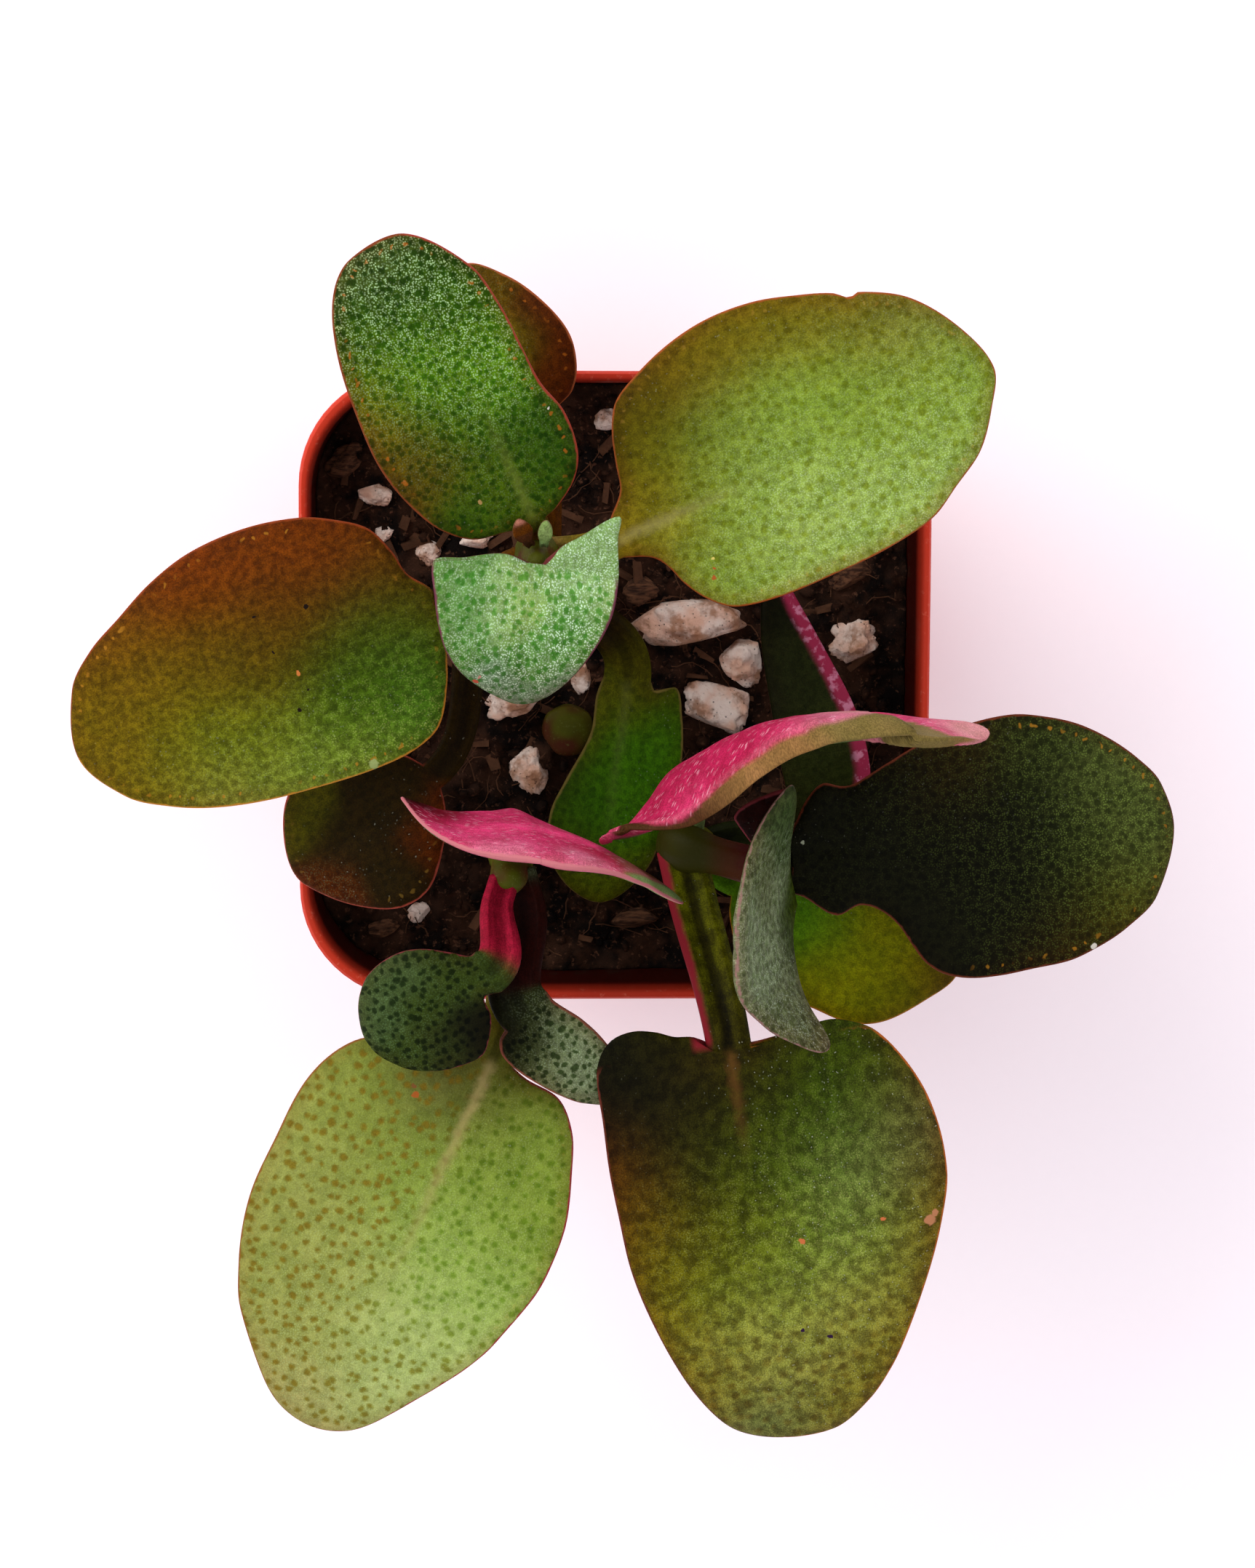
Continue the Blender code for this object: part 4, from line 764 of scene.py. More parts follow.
LEAVES = {
    "leaf_a_top_back": dict(
        base=(-7.7, 15.8, 21), tip=(-18.3, 38.9, 27),
        left="0.2 2.4, 1 5.4, 4.1 7.9, 9.4 9.5, 14.8 9.5, 20 8.8, 24 7.2, 26 4.8",
        right="0.5 2.4, 2 4.4, 4.2 5.6, 7.7 5.9, 10.8 5.1, 14.3 4.9, 18 4.7, 21.8 3.8",
        low=cup(0.8, 0.2), high=cup(0.8, 0.2), arch=1, droop=-1, joint=(-7.5, 12.7, 18), way=(0, 1, 0.5),
        reach=1.8, stalk=(2.2, 2.2)),
    "leaf_a_top_front": dict(
        base=(-7.4, 12.4, 22.2), tip=(-8.8, 0.3, 18),
        left="-1.6 1.6, -2.8 3, -5.4 6, -3.4 6.1, 0.3 6.6, 3.3 6.3, 7.5 4.6, 10.9 2.5",
        right="-0.6 2.9, -0.2 6, 0 8.5, 2.8 8.1, 5.2 7.5, 7.6 6.6, 9.8 5, 11.6 2.6",
        low=(2.2, 0.4, 0, 0.4, 1.8), high=cup(0, 0.1), arch=2.4, droop=-0.6, sessile=True, stalk=(1.8, 1.8)),
    "leaf_a_mid_left": dict(
        base=(-15.3, 7.4, 17), tip=(-45.7, -4.7, 14),
        left="0.5 2.6, 1.4 5, 3.3 8.1, 5.8 9.2, 9.4 9.5, 13.5 9.3, 18.6 8.8, 22.9 7.9, 26.7 6.5, 30.2 4.3",
        right="""-0.2 2.6, 1.2 4.6, 1.6 6.6, 2.7 9.2, 4.8 10.8, 7.7 12.2, 12.2 13, 17.1 12.8, 21.2 11.6,
            24.9 9.8, 28.2 8.1, 31 5.6""",
        low=cup(0.6, 0.1), high=cup(0.4, 0.1), arch=1.5, droop=-1, joint=(-7.2, 12.5, 15.4),
        way=(-1, -0.45, 0.1), reach=2.1, stalk=(3.2, 2.8)),
    "leaf_a_mid_right": dict(
        base=(-0.9, 14, 18), tip=(30.1, 28.4, 20),
        left="""0.5 2, 2.1 3.7, 2.7 5.9, 3.5 8.4, 4.7 10.4, 6.7 11.6, 10.5 13, 14.3 13.6, 18.4 13.3, 22.1 12.2,
            24.6 11.2, 25.7 10.3, 26.6 10.4, 30.2 8.2, 33 4.2""",
        right="""2.1 2.4, 3 3.5, 3.8 5.6, 5.1 7.6, 6.9 9, 10.8 9.7, 15.7 9.8, 20 9.7, 24.6 9, 27.4 7.5, 30.4 5.7,
            32.7 2.9""",
        low=cup(0.8, 0.2), high=cup(0.8, 0.2), arch=1.5, droop=-1, joint=(-7.2, 12.5, 15.9), way=(1, 0.1, 0.2),
        reach=2.1, stalk=(3.2, 3)),
    "leaf_a_low_back": dict(
        base=(-7.4, 23, 6.5), tip=(-13.2, 36.6, 8),
        left="0.8 3.6, 3 5.2, 6.4 5.8, 10.4 5, 13.2 2.8",
        right="0.7 2.4, 1.6 4.2, 3.6 5.4, 6.4 5.8, 9.6 4.8, 12.6 2.9",
        low=cup(0.4, 0.1), high=cup(0.4, 0.1), arch=0.8, droop=-0.5, joint=(-6.4, 11.3, 2.6), way=(0, 1, 0.5),
        reach=2.9, stalk=(3, 2.6)),
    "leaf_a_low_left": dict(
        base=(-16, -7, 6), tip=(-27.8, -15.9, 4.5),
        left="0.8 3, 3 5.6, 6 7.6, 9 7.4, 12 5.2, 14 2.4",
        right="0.8 3, 3 5.6, 7 7.4, 11 6, 13.6 3.2",
        low=cup(0.5, 0.1), high=cup(0.3, 0.1), arch=0.8, droop=-0.5, joint=(-6.5, 11, 2.4),
        way=(-1, -0.35, 0.2), reach=2.4, stalk=(3, 2.6)),
    "leaf_a_low_front": dict(
        base=(1.1, 0.6, -2), tip=(-1.4, -19.5, -4),
        left="0.7 2.6, 0.2 4.4, 2.7 5.2, 5.4 5.6, 8.2 5.6, 12.4 5, 16.2 4.2, 19.2 2.2",
        right="1.7 2.5, 5.1 2.6, 9.6 4.3, 12.5 5.2, 16.1 4.9, 19 2.9",
        low=cup(0.5, 0.1), high=cup(0.4, 0.1), arch=0.8, droop=-0.3, joint=(-6.2, 10.8, 1.4),
        way=(0.8, -1, 0.1), reach=2.3, stalk=(3, 4.2)),
    "leaf_b_mid_back": dict(
        base=(-9, -9.2, 13), tip=(-7.6, -11.6, 31), face=(-0.37, -1, 0.1),
        left="0.6 2.6, 3 6.2, 6 9.6, 8.8 11, 11.2 10.6, 13.3 9.6, 14.9 8.4, 17.1 5.2",
        right="0.6 2.6, 3.4 6.6, 7.4 11, 10.2 13.4, 11.9 13.6, 13.8 11.4, 15.4 9.3, 16.6 7.2, 18 3.6",
        low=(1.4, 2.3, 1, 1, 1.8), high=(-1, 1.1, -0.7, -1.7, 0.1), arch=-0.7, droop=0,
        joint=(-9.2, -12.7, 10.4), way=(0.1, 1, 0.6), reach=2.1, stalk=(3.6, 3)),
    "leaf_b_mid_front": dict(
        base=(-10.9, -30.3, 13), tip=(-26.2, -64, 8),
        left="""0.4 3.4, 0.8 6.6, 2.9 8.8, 5.7 10.1, 10.1 11.6, 14 12, 17.1 11.9, 20.7 11.1, 24.2 10.1,
            29.4 7.5, 35.8 3.3""",
        right="""0.6 3.4, 1.6 7.6, 2.7 10.8, 5.3 12.8, 8.6 13.8, 13.7 14, 18.1 14, 21.7 13.4, 25.5 12.2,
            29.2 10.5, 34.7 6, 36.8 3.2""",
        low=cup(0.5, 0.1), high=cup(0.3), arch=2, droop=-1, joint=(-9.2, -12.9, 10.6), way=(-0.1, -1, 0.2),
        reach=2.2, stalk=(3.4, 3.9)),
    "leaf_b_top_left": dict(
        base=(-11.4, -21.7, 20), tip=(-21.3, -28.5, 17),
        left="1.4 1.6, 1.8 3.2, 2.9 4.6, 4.2 5.5, 6.7 5.2, 9.1 4.3, 11.1 2.8",
        right="0.5 2, 1.7 3.3, 3.1 4.6, 4.9 5.5, 7.3 5.6, 9.3 4.9, 11.3 3",
        low=cup(0.4, 0.1), high=cup(0.2), arch=1, droop=-0.5, joint=(-10, -14.7, 15.3), way=(-0.35, -1, 0.7),
        reach=1.35, stalk=(2.6, 4)),
    "leaf_b_top_right": dict(
        base=(-8.2, -25.5, 17), tip=(-0.1, -33.9, 14),
        left="1 2.3, 3.8 2.9, 6.7 2.9, 9.5 2.2",
        right="0.2 3.3, 1.2 4, 3.2 4, 5.3 3.6, 7.3 3.1, 9.6 2.2",
        low=cup(0.4, 0.1), high=cup(0.2), arch=0.8, droop=-0.5, joint=(-9.2, -14.2, 13.8), way=(0.3, -1, 0.1),
        reach=2, stalk=(3.8, 4.8)),
    "leaf_c_mid_back": dict(
        base=(7, -7.2, 13), tip=(18.5, 0.6, 33), face=(0.27, -1, 0.1),
        left="""0.6 3, 1.2 7, 1.7 11, 2.6 13.4, 4.2 14.3, 6.4 13.5, 8.6 11.8, 11.8 10.4, 14.8 9, 17.7 7.4,
            20.5 5.2, 22.6 3.4""",
        right="1 2.6, 5 4.6, 10 6.8, 15 9.2, 19.5 11.8, 22 12.8, 23.7 12, 25 9.4, 25.7 6.2, 25.4 2.5",
        hem="-12 0, -8 0.3, -5 0.9, -2 1.2, 4 1.2, 8 0.7, 11 0.7, 14 0.3",
        low=(2, 1.7, 0.5, -1.4, -1.2, -2, -4, -4, -1), high=(2.6, 7, 2.4, 0, 0, 1.2, 2.7, 4, 4.2), arch=-1.5,
        droop=0, joint=(5.2, -12.5, 9), way=(0.1, 1, 0.4), reach=2.3, stalk=(3.6, 3)),
    "leaf_c_mid_front": dict(
        base=(9, -28.9, 16), tip=(14.78, -65.3, 8),
        left="""-0.4 4, -1.2 8.6, -0.8 10.4, 0.3 12.4, 2.9 14.4, 5.8 15.8, 8.6 16.5, 11.5 16.8, 14.3 16.7,
            17.5 15.9, 20.7 14.9, 25 13.3, 28.4 11.8, 31.9 10, 35.1 7.8, 37.6 4.6""",
        right="""-1.4 2.8, -1.8 4.5, -2.5 6, -2.9 7.9, -2.4 9.8, -0.7 11.1, 1.4 11.5, 4.3 11.5, 8.7 11.6,
            13.1 11.4, 17.7 11.1, 22 10.3, 26.5 9, 30.4 7.6, 33.9 5.8, 36.4 3.6""",
        low=cup(0.6, 0.1), high=cup(0.3), arch=2, droop=-1, joint=(5.2, -12.8, 9.4), way=(0.22, -1, 0.3),
        reach=2.5, stalk=(4.2, 3.8)),
    "leaf_c_top_right": dict(
        base=(14.3, -12.4, 13.4), tip=(47.3, -11, 12),
        left="""0.4 2.3, 1.5 4.4, 2.8 5.6, 4.3 5.3, 5.3 5.4, 7.9 6.9, 10.5 8.4, 14.1 9.9, 18.7 10.8, 21.7 10.5,
            24.6 9.7, 27.5 8.2, 29.9 6.4, 31.9 4.2""",
        right="""-0.3 3.4, 1 4.1, 3.6 5.7, 5.6 4.9, 7.3 5.4, 8.8 6.7, 9.8 8.3, 10.9 9.9, 12.5 11, 14.8 11.5,
            17.7 11.4, 20.3 11, 23.5 10.5, 26.2 9.4, 28.8 7.9, 31.3 5.6""",
        low=cup(0.8, 0.2), high=cup(0.6, 0.2), arch=1, droop=-1, joint=(12.2, -13.6, 13.2), way=(1, 0.3, 0),
        reach=1.7, stalk=(2.8, 3)),
    "leaf_c_top_left": dict(
        base=(13.8, -16.4, 15.2), tip=(8.5, -18.3, 31), face=(1, 0.1, 0.2),
        left="0.8 1.6, 2.4 3, 4.4 5.4, 6.4 8, 8 10.4, 9.9 10.6, 12 9.2, 14.6 7, 17 3.8",
        right="0.4 2, 2 5.8, 4.4 9.2, 6.8 11.4, 8.6 11.2, 11.8 9.4, 14.9 6.2, 17 3",
        low=(8, 1.8, 0.3, 1.2, 4.5), high=(2.5, 0.5, 0, 0.8, 1.5), arch=0, droop=0, joint=(12.2, -14, 12.6),
        way=(0.5, -0.8, 0.3), reach=1.6, stalk=(2, 2)),
    "leaf_c_low_right": dict(
        base=(10.5, -16.7, 2.9), tip=(29.6, -24.6, 5),
        left="0.6 3, 3 6, 8 8, 13 7.4, 17 4.6, 19.6 2.2",
        right="0.6 3, 3 6, 7 7.2, 10.6 7.4, 13.9 7.3, 16.6 6, 19.2 2.9",
        low=cup(0.4, 0.1), high=cup(0.3), arch=1, droop=-0.5, joint=(6.7, -14, 2), way=(1, -0.75, 0.15),
        reach=2.4, stalk=(3, 2.6)),
    "leaf_c_low_back": dict(
        base=(18.2, -12.4, 0), tip=(13.8, 11.2, -2),
        left="1 2.2, 5 2.6, 12 2.6, 17 2.4, 21 1.6",
        right="1 3.6, 3.6 4.8, 6.1 5, 8.7 4.8, 11.2 4.3, 16.3 2.7, 20.2 1.4",
        low=cup(0.8, 0.2), high=cup(0.6, 0.2), arch=1, droop=-0.5, joint=(6.8, -13.9, 1.4), way=(1, 0.35, 0.1),
        reach=2.4, stalk=(2.8, 2.6)),
    "young_leaf_c": dict(
        base=(11.8, -11.8, 17.2), tip=(11.45, -6.9, 20.3),
        left="0.5 1, 3.1 2.3, 4 2.6, 4.9 1.9",
        right="1 0.7, 3 1.3, 5.2 2.2, 6.4 2.4",
        low=cup(0), high=cup(0.2), arch=0.2, droop=0, thick=0.8, joint=(12.5, -13.9, 15.2), way=(-0.2, 0.5, 1),
        reach=0.7, stalk=(1.2, 1.4)),
    "bud_leaf_left": dict(
        base=(-8.3, 14.3, 21.8), tip=(-9.1, 16.1, 23.2),
        left="0.4 0.7, 1.2 0.9, 2 0.6",
        right="0.4 0.6, 1.2 0.8, 2 0.5",
        low=cup(0.2), high=cup(0), arch=0.2, droop=0, thick=0.7, joint=(-8, 13.9, 20.8), way=(-0.2, 0.2, 1),
        reach=0, stalk=(0.8, 0.9)),
    "bud_leaf_right": dict(
        base=(-6.9, 14.3, 21.8), tip=(-6.8, 16, 23.4),
        left="0.4 0.5, 1.2 0.6, 2 0.4",
        right="0.4 0.5, 1.2 0.6, 2 0.4",
        low=cup(0.2), high=cup(0), arch=0.2, droop=0, thick=0.7, joint=(-6.9, 13.9, 20.8), way=(0, 0.2, 1),
        reach=0, stalk=(0.8, 0.8)),
}

# %% [markdown]
# ## How a leaf is built
# A blade is a curved middle sheet with a thickness that thins and rounds off towards its edge.
# Fleshy leaves have no crisp edge, so a thickened sheet with a bevel would look cut from card.
# The skin runs from inside the stem along the grooved stalk to the blade's tip as one surface.

# %% Blade sheet
BLADE_THICKNESS, EDGE_THINNING, TIP_FADE = 1.4, 0.45, 0.12
HEM_START, HEM_WIDTH = 0.1, 1.7
KEEL_SHARE, KEEL_WIDTH = 0.35, 2
STALK_DEPTH, STALK_LEAST, STALK_CHANNEL, CHANNEL_SHARE = 0.55, 0.7, 0.25, 0.6
STALK_BEND, STALK_GAP, STALK_STEP, SHORT_STALK = 0.38, 0.35, 0.4, 3.3
MIDRIB_DEPTH, MIDRIB_WIDTH = 0.22, 0.75
BLADE_ROWS, HALF_COLUMNS, OUTLINE_STEPS = 112, 56, 800
WAVES = ((0.35, 0.10), (0.55, 0.08), (0.8, 0.05), (1.25, 0.03), (1.9, 0.018))
BROAD, CALM_REACH, HEM_CURL = 6, 4, 1.5
EVEN_SHARE, EDGE_ROUND, RIB_BELOW, RIB_FADE = 0.35, 10, 0.6, 0.7
AROUND = np.arange(2 * HALF_COLUMNS) / HALF_COLUMNS * math.pi
SIDEWAYS, UNDERNEATH = np.cos(AROUND), AROUND > math.pi


def section_height(heights, v):
    """A smooth height from those given, which are evenly spaced from v = 1 to v = -1."""
    place = (1 - v) / 2 * (len(heights) - 1)
    index = np.minimum(place.astype(int), len(heights) - 2)
    u = place - index
    ends = np.array([2 * heights[0] - heights[1], *heights, 2 * heights[-1] - heights[-2]], float)
    before, first, second, after = (ends[index + step] for step in range(4))
    return 0.5 * (2 * first + (second - before) * u + (2 * before - 5 * first + 4 * second - after) * u**2
                  + (3 * first - before - 3 * second + after) * u**3)


class Blade:
    """The curved middle sheet of a leaf blade, in mm."""

    def __init__(self, plan, seed):
        self.base, self.tip = np.array(plan["base"], float), np.array(plan["tip"], float)
        self.length = np.linalg.norm(self.tip - self.base)
        self.along = (self.tip - self.base) / self.length
        face = np.array(plan.get("face", (0, 0, 1)), float)
        self.up = unit(face - (face @ self.along) * self.along)
        self.across = np.cross(self.up, self.along)
        self.arch, self.droop, self.low, self.high = (plan[key] for key in ("arch", "droop", "low", "high"))
        left, right = rows_of(plan["left"]), rows_of(plan["right"])
        self.half = max(width for _, width in left + right)
        self.neck = plan["stalk"][1] / 2
        self.thick = plan.get("thick", BLADE_THICKNESS)
        self.depth = max(STALK_LEAST, STALK_DEPTH * sum(plan["stalk"]) / 2)
        outline = ([(0, self.neck)] + left + [(self.length, 0)]
                   + [(a, -w) for a, w in right[::-1]] + [(0, -self.neck)])
        self.outline = smooth_path(outline, OUTLINE_STEPS)
        end = int(np.argmax(self.outline[:, 0] - np.abs(self.outline[:, 1])))
        self.sides = (self.outline[: end + 1], self.outline[end:][::-1])
        dice = np.random.default_rng(seed)
        turns = dice.uniform(0, math.pi, len(WAVES))
        self.hem = np.array(rows_of(plan.get("hem", "0 0"))).T
        self.waves = [(np.cos(turn), np.sin(turn), pace, dice.uniform(0, 6.3), size)
                      for turn, (pace, size) in zip(turns, WAVES)]

    def edge(self, share, side):
        """Outline points at shares of one side's length."""
        path = self.sides[side]
        at = way_along(path)
        return np.stack([np.interp(share, at / at[-1], path[:, axis]) for axis in (0, 1)], axis=-1)

    def into_hem(self, a, w):
        """How far a point is into the curled hem along the tip's edge, as a share of the hem's width."""
        tip = self.outline[self.outline[:, 0] > HEM_START * self.length]
        edge = np.interp(-w, -tip[:, 1], tip[:, 0])
        width = HEM_WIDTH * np.interp(w, *self.hem) + 0.01
        return np.clip((a - edge + width) / width, 0, 1.2)

    def height(self, a, w):
        """How far the sheet rises at a point that is a along the midrib and w beside it."""
        q = np.clip(a / self.length, 0, 1)
        v = np.clip(w / self.half, -1, 1)
        bow = self.arch * 4 * q * (1 - q) + self.droop * q**3
        swell = sum(size * np.sin(pace * (x * a + y * w) + phase) for x, y, pace, phase, size in self.waves)
        calm = np.clip(a / CALM_REACH, 0, 1) * min(1, self.half / BROAD)
        bow = bow + np.interp(w, *self.hem) * self.into_hem(a, w) ** HEM_CURL
        return bow + section_height(self.low, v) * (1 - q) + section_height(self.high, v) * q + swell * calm

    def point(self, a, w):
        """The place of a point of the sheet."""
        a, w = np.asarray(a, float)[..., None], np.asarray(w, float)[..., None]
        return self.base + a * self.along + w * self.across + self.height(a, w) * self.up

    def normal(self, a, w, step=0.2):
        """The way the sheet faces at a point."""
        a, w = np.asarray(a, float)[..., None], np.asarray(w, float)[..., None]
        slope_a = (self.height(a + step, w) - self.height(a - step, w)) / (2 * step)
        slope_w = (self.height(a, w + step) - self.height(a, w - step)) / (2 * step)
        return unit(self.up - slope_a * self.along - slope_w * self.across)


# %% [markdown]
# ## One skin for stalk and blade
# Every section has the same number of points round it: the upper face from the left edge to the right,
# and back along the lower face. The stalk's section is a grooved oval. It turns into the blade's own
# section over its last part, so that no seam shows where the blade begins.

# %% Leaf sections
def stalk_sections(plan, blade, last):
    """Sections of the stalk from inside its stem to the blade, and each point's place before the blade."""
    way = unit(np.array(plan["way"], float))
    joint = np.array(plan["joint"], float)
    start = joint + (plan["reach"] + STALK_GAP) * way
    end = blade.point(0, 0)
    heading = unit(blade.point(1, 0) - end)
    span = np.linalg.norm(end - start)
    bend = [start, start + way * span * STALK_BEND, end - heading * span * STALK_BEND, end]
    rows = max(8, int(span / STALK_STEP))
    u = (np.arange(rows) / rows)[:, None]
    weights = ((1 - u) ** 3, 3 * u * (1 - u) ** 2, 3 * u**2 * (1 - u), u**3)
    slopes = (-3 * (1 - u) ** 2, 3 * (1 - u) * (1 - 3 * u), 3 * u * (2 - 3 * u), 3 * u**2)
    centre = sum(weight * point for weight, point in zip(weights, bend))
    ahead = sum(slope * point for slope, point in zip(slopes, bend))
    deep = int((plan["reach"] + STALK_GAP) / STALK_STEP) + 1
    inside = joint + (np.arange(deep) / deep)[:, None] * (start - joint)
    centre = np.concatenate([inside, centre])
    ahead = unit(np.concatenate([np.broadcast_to(way, inside.shape), ahead]))
    u = np.concatenate([np.zeros((deep, 1)), u])
    end_up = blade.normal(0.3, 0)
    start_up = np.array([0, 0, 1.0]) if span > SHORT_STALK else end_up
    start_up = unit(start_up - (start_up @ way) * way)
    up = start_up * (1 - u) + end_up * u
    up = unit(up - np.sum(up * ahead, axis=1)[:, None] * ahead)
    side = np.cross(up, ahead)
    width = (plan["stalk"][0] * (1 - u) + plan["stalk"][1] * u) / 2
    oval = np.sqrt(1 - SIDEWAYS**2) * blade.depth / 2
    groove = STALK_CHANNEL * blade.depth * np.clip(1 - (SIDEWAYS / CHANNEL_SHARE) ** 2, 0, 1)
    late = np.clip((u - 0.5) / 0.5, 0, 1)
    late = late * late * (3 - 2 * late)
    lift = np.where(UNDERNEATH, -oval, oval - groove) * (1 - late) + last * late
    points = centre[:, None] + (SIDEWAYS * width)[..., None] * side[:, None] + lift[..., None] * up[:, None]
    along = way_along(np.concatenate([centre, end[None]]))
    before = (along[:-1] - along[-1])[:, None]
    return points, np.broadcast_to(before, lift.shape), SIDEWAYS * width


def leaf_sections(plan, seed):
    """All sections of a leaf with the places along and beside its midrib, as its finish needs them."""
    blade = Blade(plan, seed)
    even = np.linspace(0, 1, BLADE_ROWS)
    station = EVEN_SHARE * even + (1 - EVEN_SHARE) * (1 - np.cos(math.pi * even)) / 2
    v = SIDEWAYS[None, :, None]
    left, right = blade.edge(station, 0)[:, None], blade.edge(station, 1)[:, None]
    middle = np.stack([station * blade.length, 0 * station], axis=-1)[:, None]
    spot = middle + np.abs(v) * (np.where(v >= 0, left, right) - middle)
    a, w = spot[..., 0], spot[..., 1]
    station = station[:, None]
    rounding = np.sqrt(np.clip(1 - SIDEWAYS**EDGE_ROUND, 0, 1))
    fade = np.sqrt(np.clip((1 - station) / TIP_FADE, 0, 1))
    half = blade.thick / 2 * (1 - EDGE_THINNING * SIDEWAYS**2) * rounding * fade
    keel = max(0, blade.depth - blade.thick) * np.clip(1 - station / KEEL_SHARE, 0, 1)
    keel = keel * np.exp(-(w / KEEL_WIDTH) ** 2) * rounding
    rib = MIDRIB_DEPTH * min(1, blade.half / BROAD) * np.exp(-(w / MIDRIB_WIDTH) ** 2)
    rib = rib * (1 - station) ** RIB_FADE
    lift = np.where(UNDERNEATH, -half - keel - RIB_BELOW * rib, half - rib)
    points = blade.point(a, w) + lift[..., None] * blade.normal(a, w)
    if not plan.get("sessile"):
        stalk, before, beside = stalk_sections(plan, blade, lift[0])
        points = np.concatenate([stalk, points])
        a, w = np.concatenate([before, a]), np.concatenate([beside, w])
    return blade, points, a, w


def from_edge(blade, a, w):
    """Each point's distance from the leaf's outline, and how far along the outline that is."""
    along = way_along(blade.outline)
    distance, arc = np.empty(a.shape), np.empty(a.shape)
    for row in range(len(a)):
        gap = np.hypot(a[row][:, None] - blade.outline[:, 0], w[row][:, None] - blade.outline[:, 1])
        nearest = gap.argmin(axis=1)
        distance[row] = gap[np.arange(len(nearest)), nearest]
        arc[row] = along[nearest]
    on_stalk = (1 - np.abs(SIDEWAYS)) * blade.neck + 0.02
    return np.where(a < 0, on_stalk, distance), arc

# %% [markdown]
# ## Where each leaf is which colour
# Sun and age turn each leaf from green to olive, rust and wine, in soft patches. A wash names a place
# on a leaf, as shares along and across it, with the palette colour there and, where it has one, the
# strength of its waxy bloom. Each point of the skin takes a blend of the nearest washes. Painting a
# picture would tie the leaf to one resolution, and noise alone would put the rust in the wrong places.
# The darkest washes of leaf_a_low_left and those near the base of leaf_c_mid_front are the leaves' own
# dark colour and painted shade from the leaves above.

# %% Palette and washes
# The last colour is that of a painted highlight on the curled leaves' crest.
PALETTE = rows_of("""
    ink 0.006 0.006 0.0015, pink 0.72 0.18 0.3, amber 0.29 0.145 0.05, sand 0.21 0.15 0.045,
    burnt 0.07 0.025 0.008, sunlit_gold 0.21 0.22 0.001, sunlit_green 0.075 0.2 0.002,
    sunlit_olive 0.15 0.15 0.001, shade_bright 0.042 0.14 0.001, shade_olive 0.085 0.11 0.002,
    umber 0.022 0.012 0.001, dark_red 0.024 0.003 0.002, chestnut 0.09 0.018 0.001, rust 0.165 0.033 0.001,
    dark_rust 0.1 0.03 0.001, russet 0.16 0.055 0.001, russet_olive 0.11 0.062 0.001, tawny 0.155 0.098 0.002,
    brown_olive 0.17 0.13 0.004, dark_olive 0.07 0.062 0.001, olive 0.125 0.15 0.002, pale_olive 0.2 0.2 0.03,
    moss 0.15 0.205 0.02, deep_moss 0.034 0.055 0.001, lit_olive 0.27 0.265 0.045, bright_leaf 0.175 0.25 0.035,
    shadow_olive 0.034 0.027 0.001, stalk_olive 0.105 0.105 0.002, bottle 0.03 0.08 0.001,
    leaf_green 0.05 0.14 0.007, gold_green 0.065 0.11 0.001, bright_green 0.058 0.127 0.001,
    grey_leaf 0.13 0.17 0.055, fresh 0.225 0.335 0.033, spring 0.3 0.42 0.082, ochre 0.275 0.206 0.007,
    mint 0.25 0.41 0.14, lime 0.28 0.42 0.1, sea 0.14 0.3 0.075, dusk_green 0.18 0.31 0.165,
    teal 0.03 0.048 0.005, slate_green 0.05 0.08 0.022, grey_teal 0.17 0.21 0.105, grey_olive 0.115 0.135 0.055,
    cream_green 0.42 0.5 0.16, hay 0.31 0.33 0.075, sallow 0.22 0.27 0.035, pale_green 0.21 0.29 0.035,
    tan 0.28 0.23 0.058, blush 0.38 0.34 0.11, shade_green 0.11 0.12 0.012, hot_pink 1 0.07 0.25,
    magenta 0.66 0.04 0.145, deep_magenta 0.55 0.02 0.095, rose 0.72 0.062 0.19, salmon 0.68 0.28 0.3,
    straw 0.27 0.14 0.07, dusty_olive 0.105 0.085 0.03, wine 0.24 0.008 0.025, garnet 0.37 0.008 0.035,
    crimson 0.5 0.018 0.075, dusty_rose 0.32 0.09 0.07, tan_rose 0.42 0.18 0.14, sea_grey 0.25 0.36 0.13,
    char_green 0.02 0.026 0.004, tip_green 0.06 0.075 0.015, vivid_green 0.115 0.255 0.005,
    dark_moss 0.06 0.09 0.015, crest 0.7 0.2 0.28""")
